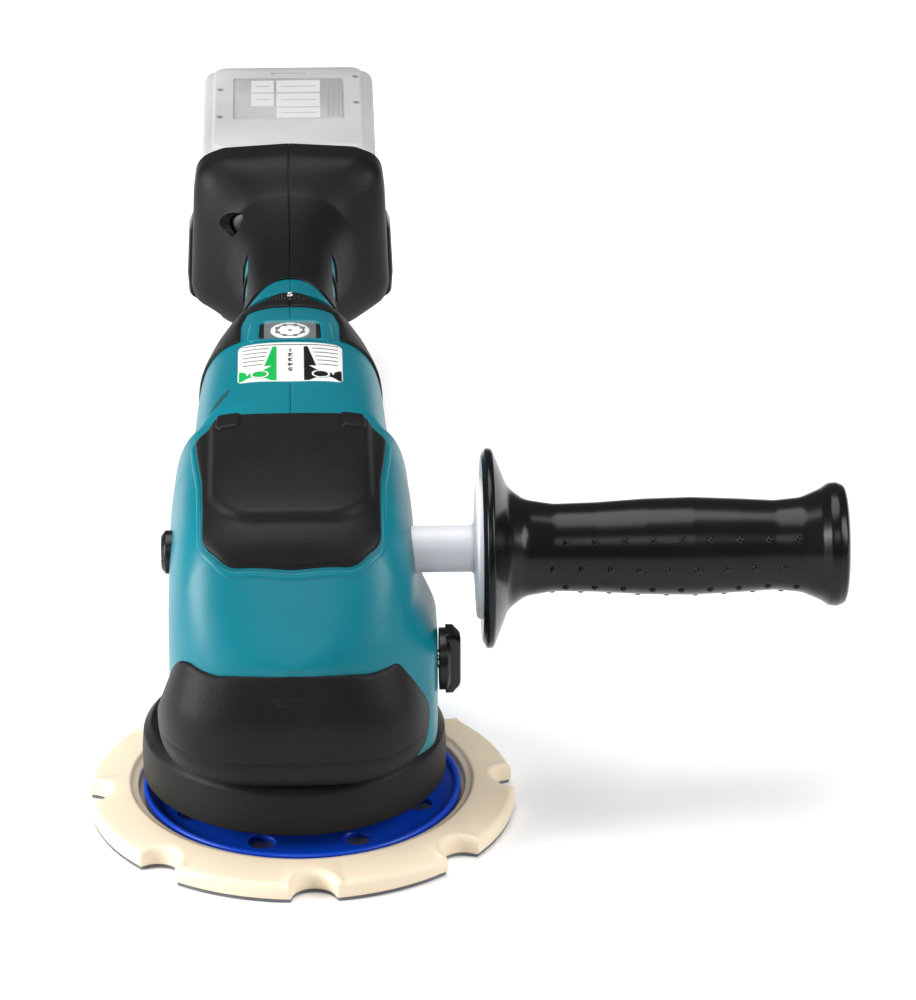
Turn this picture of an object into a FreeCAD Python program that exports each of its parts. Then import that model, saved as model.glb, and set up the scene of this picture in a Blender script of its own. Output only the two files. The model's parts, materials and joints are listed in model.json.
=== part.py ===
import FreeCAD, Part
import math
import os
import Sketcher
from FreeCAD import Placement, Rotation, Vector

# Cordless dual action polisher. Millimetres, +Z up. The origin is where the drive spindle's
# axis meets the pad's working face. The nose points along -Y, the battery along +Y and the
# side handle along +X.

doc = FreeCAD.newDocument("dual_action_polisher")
sheet = doc.addObject("Spreadsheet::Sheet", "dims")
sub_parts = []
AXIS_TURN = {
    "Z": Rotation(),
    "X": Rotation(Vector(0, 0, 1), Vector(1, 0, 0)),
    "Y": Rotation(Vector(0, 0, 1), Vector(0, 1, 0)),
}


# ---------------------------------------------------------------- sizes held in the sheet

class Length:
    """A size worked out from sheet cells: the text of its expression and its value."""

    def __init__(self, text, value):
        self.text = text
        self.value = value

    def __float__(self):
        return float(self.value)

    def joined(self, sign, other, value):
        return Length("(%s %s %s)" % (self.text, sign, expression_of(other)), value)

    def __add__(self, other):
        return self.joined("+", other, self.value + float(other))

    def __sub__(self, other):
        return self.joined("-", other, self.value - float(other))

    def __mul__(self, other):
        return self.joined("*", other, self.value * float(other))

    def __truediv__(self, other):
        return self.joined("/", other, self.value / float(other))

    def __neg__(self):
        return Length("(0 - %s)" % self.text, -self.value)

    def __radd__(self, other):
        return self + other

    def __rsub__(self, other):
        return -self + other

    def __rmul__(self, other):
        return self * other


def expression_of(size):
    return size.text if isinstance(size, Length) else "(%.6f)" % size


next_row = [1]


def cell(alias, value):
    row = next_row[0]
    next_row[0] += 1
    sheet.set("A%d" % row, alias)
    sheet.set("B%d" % row, "%g" % value)
    sheet.setAlias("B%d" % row, alias)
    return Length("dims." + alias, value)


# Pad and its stack
pad_radius = cell("pad_radius", 82.5)
foam_top = cell("foam_top", 10.4)
foam_edge = cell("foam_edge", 8)
hook_thick = cell("hook_thick", 1.2)
orbit_offset = cell("orbit_offset", 2.75)
notch_radius = cell("notch_radius", 8.4)
plate_radius = cell("plate_radius", 61.4)
plate_bottom = cell("plate_bottom", 4.5)
plate_floor = cell("plate_floor", 6.3)
plate_top = cell("plate_top", 14)
dust_hole_radius = cell("dust_hole_radius", 5)
dust_hole_pitch = cell("dust_hole_pitch", 47.5)
pad_bolt_radius = cell("pad_bolt_radius", 3.9)
arbor_radius = cell("arbor_radius", 7.5)
pad_bearing_low = cell("pad_bearing_low", 34)
bearing_width = cell("bearing_width", 11)
bearing_outer = cell("bearing_outer", 17.5)
running_gap = cell("running_gap", 0.05)

# Forced-rotation gearing under the eccentric
gear_module = cell("gear_module", 1.375)
gear_low = cell("gear_low", 25)
gear_high = cell("gear_high", 31)
ring_outer = cell("ring_outer", 39.8)

# Spindle, its housings and the bevel drive
bell_low = cell("bell_low", 33)
bell_high = cell("bell_high", 51)
lower_wall = cell("lower_wall", 44)
lower_bore = cell("lower_bore", 40)
spindle_bearing_low = cell("spindle_bearing_low", 54)
gear_case_low = cell("gear_case_low", 57)
gear_case_high = cell("gear_case_high", 114)
gear_case_radius = cell("gear_case_radius", 42)
motor_height = cell("motor_height", 100)
bevel_module = cell("bevel_module", 1.5)
face_share = cell("face_share", 0.695)

# Head covers
head_half = cell("head_half", 47.5)
head_back = cell("head_back", 56)
head_low = cell("head_low", 40)
head_high = cell("head_high", 138)
nose_front = cell("nose_front", 62)
nose_half = cell("nose_half", 51)
nose_high = cell("nose_high", 85)
skirt_radius = cell("skirt_radius", 58.5)
skirt_low = cell("skirt_low", 16)
skirt_high = cell("skirt_high", 37)
top_cover_half = cell("top_cover_half", 37)
top_cover_thick = cell("top_cover_thick", 3.5)

# Mode knob and side handle
knob_y = cell("knob_y", -8)
knob_z = cell("knob_z", 65.2)
knob_face = cell("knob_face", 55.7)
handle_y = cell("handle_y", 10)
handle_z = cell("handle_z", 103.1)
handle_flange = cell("handle_flange", 71)
handle_end = cell("handle_end", 212.5)
handle_bolt = cell("handle_bolt", 3.9)

# Rear housing, motor, controls and battery
shell_wall = cell("shell_wall", 3)
rubber_skin = cell("rubber_skin", 1.6)
stator_radius = cell("stator_radius", 28)
shaft_radius = cell("shaft_radius", 4)
dial_y = cell("dial_y", 197)
dial_z = cell("dial_z", 114)
dial_radius = cell("dial_radius", 16)
dial_width = cell("dial_width", 8)
trigger_pin_y = cell("trigger_pin_y", 284)
trigger_pin_z = cell("trigger_pin_z", 84)
lock_y = cell("lock_y", 222)
lock_z = cell("lock_z", 99)
flare_back = cell("flare_back", 342)
dock_low = cell("dock_low", 60)
dock_length = cell("dock_length", 88)
battery_front = cell("battery_front", 345)
battery_back = cell("battery_back", 454)
battery_half = cell("battery_half", 37.5)
battery_low = cell("battery_low", 71)
battery_split = cell("battery_split", 100)
battery_high = cell("battery_high", 133)


# ---------------------------------------------------------------- ways to build a sub-part

def bind(obj, prop, size):
    if isinstance(size, Length):
        obj.setExpression(prop, size.text)
    else:
        obj.setExpression(prop, expression_of(size))


def put_at(obj, at, axis="Z"):
    obj.Placement = Placement(Vector(*[float(part) for part in at]), AXIS_TURN[axis])
    for letter, part in zip("xyz", at):
        if isinstance(part, Length):
            obj.setExpression("Placement.Base." + letter, part.text)


def keep(obj):
    """Marks an object as a sub-part: its Label becomes the node's name."""
    sub_parts.append(obj)
    return obj


def cylinder(label, radius, height, at=(0, 0, 0), axis="Z"):
    obj = doc.addObject("Part::Cylinder", label)
    bind(obj, "Radius", radius)
    bind(obj, "Height", height)
    put_at(obj, at, axis)
    return obj


def box(label, low, high):
    obj = doc.addObject("Part::Box", label)
    for prop, start, end in zip(("Length", "Width", "Height"), low, high):
        bind(obj, prop, end - start)
    put_at(obj, low)
    return obj


def group(label, solids):
    obj = doc.addObject("Part::Compound", label)
    obj.Links = solids
    return obj


def fuse(label, *solids):
    obj = doc.addObject("Part::MultiFuse", label)
    obj.Shapes = list(solids)
    return obj


def cut(label, base, *tools):
    obj = doc.addObject("Part::Cut", label)
    obj.Base = base
    obj.Tool = tools[0] if len(tools) == 1 else group(label + "_tools", list(tools))
    return obj


def common(label, *solids):
    obj = doc.addObject("Part::MultiCommon", label)
    obj.Shapes = list(solids)
    return obj


def origin_plane(body, role):
    return next(item for item in body.Origin.OriginFeatures if item.Role == role)


def draw_outline(sketch, corners):
    """Straight-sided closed outline whose every corner is tied to the sheet."""
    points = [Vector(float(across), float(along), 0) for across, along in corners]
    count = len(points)
    for index in range(count):
        sketch.addGeometry(Part.LineSegment(points[index], points[(index + 1) % count]))
    for index in range(count):
        sketch.addConstraint(Sketcher.Constraint("Coincident", index, 2, (index + 1) % count, 1))
    for index, corner in enumerate(corners):
        for kind, size, axis in zip(("DistanceX", "DistanceY"), corner, (-2, -1)):
            if float(size) == 0:
                sketch.addConstraint(Sketcher.Constraint("PointOnObject", index, 1, axis))
                continue
            number = sketch.addConstraint(
                Sketcher.Constraint(kind, -1, 1, index, 1, float(size)))
            if isinstance(size, Length):
                sketch.setExpression("Constraints[%d]" % number, size.text)


def sketch_on(body, role, label):
    sketch = body.newObject("Sketcher::SketchObject", label)
    sketch.AttachmentSupport = (origin_plane(body, role), "")
    sketch.MapMode = "FlatFace"
    return sketch


def turned(label, outline, at=(0, 0, 0), axis="Z"):
    """A lathe-turned piece: (radius, distance along the axis) corners, revolved."""
    body = doc.addObject("PartDesign::Body", label)
    sketch = sketch_on(body, "XZ_Plane", label + "_outline")
    draw_outline(sketch, outline)
    turn = body.newObject("PartDesign::Revolution", label + "_turn")
    turn.Profile = sketch
    turn.ReferenceAxis = (sketch, ["V_Axis"])
    turn.Angle = 360
    body.Tip = turn
    put_at(body, at, axis)
    return body


def prism(label, role, outline, thickness, at=(0, 0, 0)):
    """A straight-sided piece of one thickness, centred on its sketch plane."""
    body = doc.addObject("PartDesign::Body", label)
    sketch = sketch_on(body, role, label + "_outline")
    draw_outline(sketch, outline)
    pad = body.newObject("PartDesign::Pad", label + "_pad")
    pad.Profile = sketch
    pad.Midplane = True
    bind(pad, "Length", thickness)
    body.Tip = pad
    put_at(body, at)
    return body


def ring_of_cuts(body, label, radius, pitch_radius, count, first_angle):
    """Round cuts right through a turned body, evenly spaced about its axis."""
    sketch = sketch_on(body, "XY_Plane", label + "_circle")
    turn = math.radians(first_angle)
    centre = Vector(float(pitch_radius) * math.cos(turn), float(pitch_radius) * math.sin(turn), 0)
    sketch.addGeometry(Part.Circle(centre, Vector(0, 0, 1), float(radius)))
    across = sketch.addConstraint(Sketcher.Constraint("DistanceX", -1, 1, 0, 3, centre.x))
    along = sketch.addConstraint(Sketcher.Constraint("DistanceY", -1, 1, 0, 3, centre.y))
    size = sketch.addConstraint(Sketcher.Constraint("Radius", 0, float(radius)))
    sketch.setExpression("Constraints[%d]" % across, (pitch_radius * math.cos(turn)).text)
    sketch.setExpression("Constraints[%d]" % along, (pitch_radius * math.sin(turn)).text)
    sketch.setExpression("Constraints[%d]" % size, radius.text)
    pocket = body.newObject("PartDesign::Pocket", label)
    pocket.Profile = sketch
    pocket.Midplane = True
    pocket.Length = 80
    doc.recompute()
    pattern = body.newObject("PartDesign::PolarPattern", label + "_pattern")
    pattern.Originals = [pocket]
    pattern.Axis = (sketch, ["N_Axis"])
    pattern.Angle = 360
    pattern.Occurrences = count
    body.Tip = pattern
    return body


def made(label, shape):
    """A shape that the workbenches' features don't offer, sized from the sheet."""
    obj = doc.addObject("Part::Feature", label)
    obj.Shape = shape
    return obj


def toothed_wire(teeth, root, tip, pitch, half_width, flank=20, start=0.0):
    """Straight-flanked gear outline in the XY plane about the origin."""
    points = []
    slope = math.tan(math.radians(flank))
    for tooth in range(teeth):
        middle = start + tooth * 2 * math.pi / teeth
        wide = half_width / pitch + slope * (pitch - root) / root
        narrow = half_width / pitch - slope * (tip - pitch) / tip
        for radius, turn in ((root, -wide), (tip, -narrow), (tip, narrow), (root, wide)):
            points.append(Vector(radius * math.cos(middle + turn),
                                 radius * math.sin(middle + turn), 0))
    return Part.makePolygon(points + [points[0]])


def slab_of(wire, low, high):
    face = Part.Face(wire)
    solid = face.extrude(Vector(0, 0, high - low))
    solid.translate(Vector(0, 0, low))
    return solid


# ---------------------------------------------------------------- pad and backing plate

NOTCHES = 8
NOTCH_START = -87.1          # degrees from +X: one notch just off the front centre
PAD_GEAR_TEETH = 35
RING_TEETH = 39
PINION_TEETH = 10
BEVEL_TEETH = 38
pad_axis = (orbit_offset, 0, 0)
bolt_hole = pad_bolt_radius + 0.1
hub_hole = cell("hub_hole", 11)

hook_face = turned("hook_face", [
    (hub_hole, 0), (pad_radius - 0.5, 0), (pad_radius - 0.5, hook_thick), (hub_hole, hook_thick),
], pad_axis)
keep(ring_of_cuts(hook_face, "hook_notch", notch_radius, pad_radius, NOTCHES, NOTCH_START))

foam_pad = turned("foam_pad", [
    (hub_hole, hook_thick), (pad_radius, hook_thick), (pad_radius, foam_edge - 3),
    (pad_radius - 3, foam_edge), (plate_radius + 4, foam_top), (plate_radius + 3, foam_top - 1.5),
    (plate_radius + 0.5, foam_top - 1.5), (plate_radius + 0.5, plate_bottom),
    (hub_hole, plate_bottom),
], pad_axis)
keep(ring_of_cuts(foam_pad, "foam_notch", notch_radius, pad_radius, NOTCHES, NOTCH_START))

backing_plate = turned("backing_plate", [
    (bolt_hole, plate_top - 4), (bolt_hole, plate_top), (20, plate_top), (22, plate_floor),
    (plate_radius - 2.5, plate_floor), (plate_radius - 2, plate_floor + 3),
    (plate_radius, plate_floor + 3), (plate_radius, plate_bottom), (hub_hole, plate_bottom),
    (hub_hole, plate_top - 4),
], pad_axis)
keep(ring_of_cuts(backing_plate, "dust_hole", dust_hole_radius, dust_hole_pitch, 8, -109))

pad_bolt_blank = turned("pad_bolt_blank", [
    (0, plate_top - 10.6), (6.5, plate_top - 10.6), (6.5, plate_top - 5.6),
    (10, plate_top - 5.6), (10, plate_top - 4), (pad_bolt_radius, plate_top - 4),
    (pad_bolt_radius, gear_high + 2), (0, gear_high + 2),
], pad_axis)
pad_bolt_socket = doc.addObject("Part::Prism", "pad_bolt_socket")
pad_bolt_socket.Polygon = 6
bind(pad_bolt_socket, "Circumradius", pad_bolt_radius * 0.88)
bind(pad_bolt_socket, "Height", 3.6)
put_at(pad_bolt_socket, (orbit_offset, 0, plate_top - 10.6))
keep(cut("pad_bolt", pad_bolt_blank, pad_bolt_socket))


def orbital_arbor():
    """Pad arbor: a shaft that runs in the eccentric's bearing, over a toothed flange."""
    module = float(gear_module)
    pitch = module * PAD_GEAR_TEETH / 2
    tip = pitch + 0.6 * module
    root = module * RING_TEETH / 2 - 0.6 * module - float(orbit_offset) - 0.3
    half = math.pi * module / 4 - 0.15
    teeth = slab_of(toothed_wire(PAD_GEAR_TEETH, root, tip, pitch, half),
                    float(gear_low), float(gear_high))
    hub = Part.makeCylinder(12, float(gear_low - plate_top), Vector(0, 0, float(plate_top)))
    top = float(pad_bearing_low + bearing_width) - 0.5
    shaft = Part.makeCylinder(float(arbor_radius - running_gap), top - float(gear_high),
                              Vector(0, 0, float(gear_high)))
    bore = Part.makeCylinder(float(bolt_hole), float(gear_high) + 3 - float(plate_top),
                             Vector(0, 0, float(plate_top)))
    return teeth.fuse([hub, shaft]).cut(bore).removeSplitter()


pad_arbor = keep(made("pad_arbor", orbital_arbor()))
put_at(pad_arbor, pad_axis)


# ---------------------------------------------------------------- eccentric, ring gear, spindle

def forced_rotation_ring():
    """Internal ring gear with a circle of lock holes in its upper face."""
    module = float(gear_module)
    pitch = module * RING_TEETH / 2
    tip = pitch - 0.45 * module
    root = module * PAD_GEAR_TEETH / 2 + 0.6 * module + float(orbit_offset) + 0.3
    half = math.pi * module / 4 + 0.15
    low = float(gear_low)
    high = float(gear_high) + 1
    space = slab_of(toothed_wire(RING_TEETH, tip, root, pitch, half), low, high)
    ring = Part.makeCylinder(float(ring_outer), high - low, Vector(0, 0, low)).cut(space)
    holes = []
    for number in range(12):
        turn = lock_angle + number * math.pi / 6
        centre = Vector(lock_radius * math.cos(turn), lock_radius * math.sin(turn), low + 3)
        holes.append(Part.makeCylinder(2.9, high - low, centre))
    return ring.cut(holes)


lock_x = cell("lock_x", 31)
lock_radius = math.hypot(float(lock_x), float(knob_y))
lock_angle = math.atan2(float(knob_y), float(lock_x))
keep(made("forced_rotation_ring", forced_rotation_ring()))

bell_body = cylinder("bell_body", 23, bell_high - bell_low, (orbit_offset, 0, bell_low))
bell_disc = cylinder("bell_disc", 26.5, bell_high - bell_low - 4, (0, 0, bell_low + 4))
bell_half = box("bell_half", (-30, -29.5, bell_low), (-2, 29.5, bell_high))
bell_weight = common("bell_weight", bell_disc, bell_half)
bell_pocket = cylinder("bell_pocket", bearing_outer, pad_bearing_low + bearing_width - bell_low,
                       (orbit_offset, 0, bell_low))
bell_bore = cylinder("bell_bore", arbor_radius, bell_high - bell_low, (0, 0, bell_low))
keep(cut("eccentric_weight", fuse("bell_blank", bell_body, bell_weight), bell_pocket, bell_bore))


def bearing(label, bore, outer, start, width, at=(0, 0, 0), axis="Z"):
    """Ball bearing: its two races and seals as one turned solid with recessed faces."""
    rim = (outer - bore) * 0.28
    return keep(turned(label, [
        (bore, start), (bore + rim, start), (bore + rim, start + 0.6), (outer - rim, start + 0.6),
        (outer - rim, start), (outer, start), (outer, start + width), (outer - rim, start + width),
        (outer - rim, start + width - 0.6), (bore + rim, start + width - 0.6),
        (bore + rim, start + width), (bore, start + width),
    ], at, axis))


bearing("pad_bearing", arbor_radius, bearing_outer, pad_bearing_low, bearing_width, pad_axis)
bearing("spindle_bearing_lower", arbor_radius, bearing_outer, spindle_bearing_low, bearing_width)
upper_bearing_low = cell("upper_bearing_low", 102)
upper_bearing_width = cell("upper_bearing_width", 8)
bearing("spindle_bearing_upper", cell("upper_bore", 5), cell("upper_outer", 13),
        upper_bearing_low, upper_bearing_width)

spindle_top = upper_bearing_low + upper_bearing_width - 0.5
journal = arbor_radius - running_gap
keep(turned("drive_spindle", [
    (0, bell_high - 5.8), (arbor_radius, bell_high - 5.8), (arbor_radius, bell_high),
    (9, bell_high), (9, spindle_bearing_low - 0.2), (journal, spindle_bearing_low - 0.2),
    (journal, 68), (9, 68), (9, 80.8), (7, 80.8), (7, 96.2), (6.2, 96.2),
    (6.2, upper_bearing_low - 0.3), (5 - running_gap, upper_bearing_low - 0.3),
    (5 - running_gap, spindle_top), (0, spindle_top),
]))

bevel_pitch = bevel_module * (BEVEL_TEETH / 2)
pinion_pitch = bevel_module * (PINION_TEETH / 2)


def bevel_wheel():
    """Large bevel gear: a conical blank with teeth that shrink towards the axes' crossing."""
    apex = Vector(0, 0, float(motor_height))
    reach = float(bevel_pitch)
    drop = float(pinion_pitch)
    length = math.hypot(reach, drop)
    rise = Vector(drop / length, 0, reach / length)
    side = Vector(0, 1, 0)
    pitch_point = Vector(reach, 0, -drop)
    module = float(bevel_module)
    share = float(face_share)
    root = -0.97 * module
    outer_root = pitch_point + rise * root
    profile = [Vector(7, 0, -19), Vector(7, 0, -4.8), Vector(12, 0, -4.8),
               outer_root * share, outer_root, Vector(reach + 0.6, 0, -12),
               Vector(reach - 2.5, 0, -15.5), Vector(14, 0, -19)]
    face = Part.Face(Part.makePolygon(profile + [profile[0]]))
    wheel = face.revolve(Vector(), Vector(0, 0, 1), 360)
    half = math.pi * module / 4 - 0.2
    slope = math.tan(math.radians(20))
    levels = ((root - 0.15, half + slope * 1.6), (0.6 * module, half - slope * 0.9))
    outline = [pitch_point + rise * level + side * (sign * width)
               for sign in (-1, 1) for level, width in (levels if sign < 0 else levels[::-1])]
    outer = Part.makePolygon(outline + [outline[0]])
    inner = Part.makePolygon([point * share for point in outline + [outline[0]]])
    tooth = Part.makeLoft([outer, inner], True, True)
    teeth = []
    for number in range(BEVEL_TEETH):
        copy = tooth.copy()
        copy.rotate(Vector(), Vector(0, 0, 1), 90 + number * 360 / BEVEL_TEETH)
        teeth.append(copy)
    wheel = wheel.fuse(teeth)
    wheel.translate(apex)
    return wheel


def bevel_pinion_shape():
    """Small bevel gear on the motor shaft, with its bore and hub."""
    pitch = float(pinion_pitch)
    module = float(bevel_module)
    half = math.pi * module / 4 - 0.2
    big = toothed_wire(PINION_TEETH, pitch - 0.95 * module, pitch + 0.6 * module, pitch, half)
    small = big.copy()
    small.scale(float(face_share))
    small.translate(Vector(0, 0, float(bevel_pitch * face_share)))
    big.translate(Vector(0, 0, float(bevel_pitch)))
    gear = Part.makeLoft([small, big], True, True)
    hub = Part.makeCylinder(pitch - 1.6, 9, Vector(0, 0, float(bevel_pitch) - 3))
    bore = Part.makeCylinder(float(shaft_radius) - 0.8, 60, Vector(0, 0, 0))
    return gear.fuse(hub).cut(bore)


keep(made("bevel_gear", bevel_wheel()))
bevel_pinion = keep(made("bevel_pinion", bevel_pinion_shape()))
put_at(bevel_pinion, (0, 0, motor_height), "Y")

# ---------------------------------------------------------------- aluminium housings

lower_blank = turned("lower_blank", [
    (lower_bore, gear_low - 3), (lower_wall, gear_low - 3), (lower_wall, gear_case_low),
    (21.5, gear_case_low), (21.5, spindle_bearing_low + 12),
    (bearing_outer, spindle_bearing_low + 12), (bearing_outer, spindle_bearing_low),
    (12, spindle_bearing_low), (12, spindle_bearing_low - 1), (lower_bore, spindle_bearing_low - 1),
])
lock_guide = cylinder("lock_guide", 5, spindle_bearing_low + 1 - 34, (lock_x, knob_y, 34))
lock_hole = cylinder("lock_hole", 2.45, 40, (lock_x, knob_y, 30))
keep(cut("lower_housing", fuse("lower_raw", lower_blank, lock_guide), lock_hole))

case_outer = turned("case_outer", [
    (0, gear_case_high - 4), (27.5, gear_case_high - 4), (gear_case_radius - 4, 94),
    (gear_case_radius - 4, gear_case_low), (gear_case_radius, gear_case_low),
    (gear_case_radius, 96), (30, gear_case_high), (0, gear_case_high),
])
case_seat = turned("case_seat", [
    (13, upper_bearing_low), (16.5, upper_bearing_low), (16.5, gear_case_high - 3),
    (13, gear_case_high - 3),
])
boss_reach = cell("boss_reach", 44.4)
case_bosses = []
for side, name in ((1, "right"), (-1, "left")):
    inner_end = 32 if side > 0 else -boss_reach
    outer_end = boss_reach if side > 0 else -32
    case_bosses.append(cylinder("boss_" + name, 9, outer_end - inner_end,
                                (inner_end, handle_y, handle_z), "X"))
boss_bore = cylinder("boss_bore", handle_bolt + 0.1, 120, (-60, handle_y, handle_z), "X")
pinion_bore = cylinder("pinion_bore", 11, 30, (0, 20, motor_height), "Y")
knob_bore = cylinder("knob_bore", 3.55, 30, (30, knob_y, knob_z), "X")
keep(cut("gear_housing", fuse("case_raw", case_outer, case_seat, *case_bosses),
         boss_bore, pinion_bore, knob_bore))

bracket_block = box("bracket_block", (-30.5, 34, 70.5), (30.5, head_back + 2, 129.5))
bracket_hollow = cylinder("bracket_hollow", gear_case_radius, 80, (0, 0, 60))
bracket_seat = cylinder("bracket_seat", 11, 9, (0, 46, motor_height), "Y")
bracket_hole = cylinder("bracket_hole", 7, 40, (0, 30, motor_height), "Y")
bracket_well = cylinder("bracket_well", 29, 10, (0, head_back - 1, motor_height), "Y")
bracket_boss = cylinder("bracket_boss", 15, 10, (0, head_back - 1, motor_height), "Y")
keep(cut("motor_bracket", bracket_block, bracket_hollow, bracket_seat, bracket_hole,
         cut("bracket_ring", bracket_well, bracket_boss)))

# ---------------------------------------------------------------- rubber skirt and nose

keep(turned("rubber_skirt", [
    (skirt_radius - 2.5, skirt_low), (skirt_radius, skirt_low), (skirt_radius, skirt_high - 4),
    (skirt_radius - 4, skirt_high), (lower_wall, skirt_high + 1), (lower_wall, skirt_high - 1.5),
    (skirt_radius - 6, skirt_high - 2.5), (skirt_radius - 2.5, skirt_high - 5),
]))


def half_round(half_width, depth, back, steps=12):
    """Plan outline: a straight back edge and an elliptical front, as (x, y) corners."""
    corners = []
    for step in range(steps + 1):
        turn = math.pi * step / steps
        corners.append((half_width * math.cos(turn), -depth * math.sin(turn)))
    corners[0] = (half_width, 0)
    corners[-1] = (-half_width, 0)
    return [(half_width, back)] + corners + [(-half_width, back)]


nose_mid = (nose_high + head_low - 1) / 2
nose_blank = prism("nose_blank", "XY_Plane", half_round(nose_half, nose_front, 2),
                   nose_high - head_low + 1, (0, 0, nose_mid))
nose_hollow = prism("nose_hollow", "XY_Plane", half_round(head_half + 0.1, nose_front - 4, 20),
                    60, (0, 0, nose_mid))

# ---------------------------------------------------------------- head cover and its top pad


def head_profile(inset):
    """Side outline of the head as (y, z) corners, drawn in by a wall's thickness."""
    front = -(nose_front - 4.2)
    return [(head_back, head_low), (head_back, head_high - inset), (20, head_high - inset),
            (-25, head_high - 6 - inset), (-37, head_high - 18 - inset),
            (front + inset, nose_high + 1), (front + inset, head_low)]


def head_block(label, inset, back):
    side = prism(label + "_side", "YZ_Plane", head_profile(inset), head_half * 2)
    plan = prism(label + "_plan", "XY_Plane",
                 half_round(head_half - inset, nose_front - 4.2 - inset, back), 300)
    return common(label, side, plan)


head_outer = head_block("head_outer", 0, head_back)
head_inner = head_block("head_inner", 3, head_back + 1)
lever_bulge = prism("lever_bulge", "XY_Plane", [
    (head_half - 2.9, 22), (head_half, 22), (knob_face - 0.3, 12), (knob_face - 0.3, -24),
    (head_half, -34), (head_half - 8, -34), (head_half - 2.9, -26),
], 46, (0, 0, 64))
cover_boss_holes = cylinder("cover_boss_holes", 9.5, 120, (-60, handle_y, handle_z), "X")
cover_knob_hole = cylinder("cover_knob_hole", 3.8, 40, (35, knob_y, knob_z), "X")
keep(cut("head_cover", fuse("head_raw", cut("head_shell", head_outer, head_inner), lever_bulge),
         cover_boss_holes, cover_knob_hole))
keep(cut("nose_bumper", nose_blank, nose_hollow, lever_bulge))


def top_cover_profile():
    """The rubber pad lies on the head's top and follows it down the front slope."""
    level = head_high
    rise = top_cover_thick
    return [(head_back - 2, level), (head_back - 2, level + rise - 1), (34, level + rise),
            (-24, level - 6 + rise), (-39, level - 18 + rise * 0.3), (-37, level - 18),
            (-25, level - 6), (20, level)]


keep(prism("top_cover", "YZ_Plane", top_cover_profile(), top_cover_half * 2))

# ---------------------------------------------------------------- mode knob and ring lock

knob_disc = cylinder("knob_disc", 12, 4, (knob_face, knob_y, knob_z), "X")
knob_bar = box("knob_bar", (knob_face + 3, knob_y - 5, knob_z - 12.5),
               (knob_face + 8.3, knob_y + 5, knob_z + 12.5))
keep(fuse("mode_knob", knob_disc, knob_bar))
shaft_start = cell("knob_shaft_start", 27)
knob_rod = cylinder("knob_rod", 3.5, knob_face - shaft_start, (shaft_start, knob_y, knob_z), "X")
knob_cam = cylinder("knob_cam", 3.5, 6.5, (lock_x - 3, knob_y, knob_z - 3), "X")
keep(fuse("knob_camshaft", knob_rod, knob_cam))
keep(turned("ring_lock_pin", [
    (0, gear_low + 3.5), (2.4, gear_low + 3.5), (2.4, knob_z - 7.7), (0, knob_z - 7.7),
], (lock_x, knob_y, 0)))

# ---------------------------------------------------------------- side handle

handle_axis = (0, handle_y, handle_z)
keep(turned("handle_tube", [
    (handle_bolt + 0.1, boss_reach), (9, boss_reach), (9, handle_flange), (27, handle_flange),
    (27, handle_flange + 2), (handle_bolt + 0.1, handle_flange + 2),
], handle_axis, "X"))
bolt_end = handle_end - 8
keep(turned("side_handle_grip", [
    (handle_bolt + 0.1, handle_flange + 2), (38.5, handle_flange + 2), (38.5, handle_flange + 5),
    (33, handle_flange + 8.5), (24, handle_flange + 11), (18.5, handle_flange + 17),
    (16.6, handle_flange + 26), (17.2, handle_flange + 45), (18.6, handle_flange + 72),
    (18.6, handle_flange + 92), (17.6, handle_flange + 112), (19, handle_flange + 124),
    (23.5, handle_flange + 133), (23.5, handle_end - 3), (21, handle_end), (10.2, handle_end),
    (10.2, bolt_end - 2), (handle_bolt + 0.1, bolt_end - 2),
], handle_axis, "X"))
keep(turned("handle_stud", [
    (0, 33), (handle_bolt, 33), (handle_bolt, bolt_end - 2), (6.5, bolt_end - 2),
    (6.5, bolt_end + 3), (0, bolt_end + 3),
], handle_axis, "X"))
keep(turned("handle_end_cap", [
    (0, bolt_end + 3.5), (10.1, bolt_end + 3.5), (10.1, handle_end - 0.2), (0, handle_end - 0.2),
], handle_axis, "X"))
plug_start = -(boss_reach + 5.6)
keep(turned("boss_plug", [
    (0, -34), (handle_bolt, -34), (handle_bolt, -boss_reach), (8.5, -boss_reach),
    (8.5, plug_start), (0, plug_start),
], handle_axis, "X"))

# ---------------------------------------------------------------- motor

shaft_axis = (0, 0, motor_height)
keep(turned("rotor_shaft", [
    (0, 26), (shaft_radius - 0.8, 26), (shaft_radius - 0.8, 40), (shaft_radius - running_gap, 40),
    (shaft_radius - running_gap, 135), (2.95, 135), (2.95, 146), (0, 146),
], shaft_axis, "Y"))
rotor_start = cell("rotor_start", 88)
rotor_length = cell("rotor_length", 30)
keep(turned("rotor_core", [
    (shaft_radius - running_gap, rotor_start), (13.2, rotor_start),
    (13.2, rotor_start + rotor_length), (shaft_radius - running_gap, rotor_start + rotor_length),
], shaft_axis, "Y"))
bearing("motor_bearing_front", shaft_radius, cell("front_outer", 11), cell("front_bearing_y", 46),
        cell("front_bearing_width", 7), shaft_axis, "Y")
bearing("motor_bearing_rear", cell("rear_bore", 3), cell("rear_outer", 9.5),
        cell("rear_bearing_y", 139.5), cell("rear_bearing_width", 6), shaft_axis, "Y")


def around_shaft(label, count, low, high, start_angle):
    """Blocks spread evenly about the motor's axis; low and high are (x, y, z) corners."""
    blocks = []
    for number in range(count):
        block = box("%s_%d" % (label, number), low, high)
        turn = Placement(Vector(0, 0, float(motor_height)),
                         Rotation(Vector(0, 1, 0), start_angle + number * 360 / count))
        block.Placement = turn.multiply(Placement(Vector(*[float(part) for part in low]), Rotation()))
        blocks.append(block)
    return blocks


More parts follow.
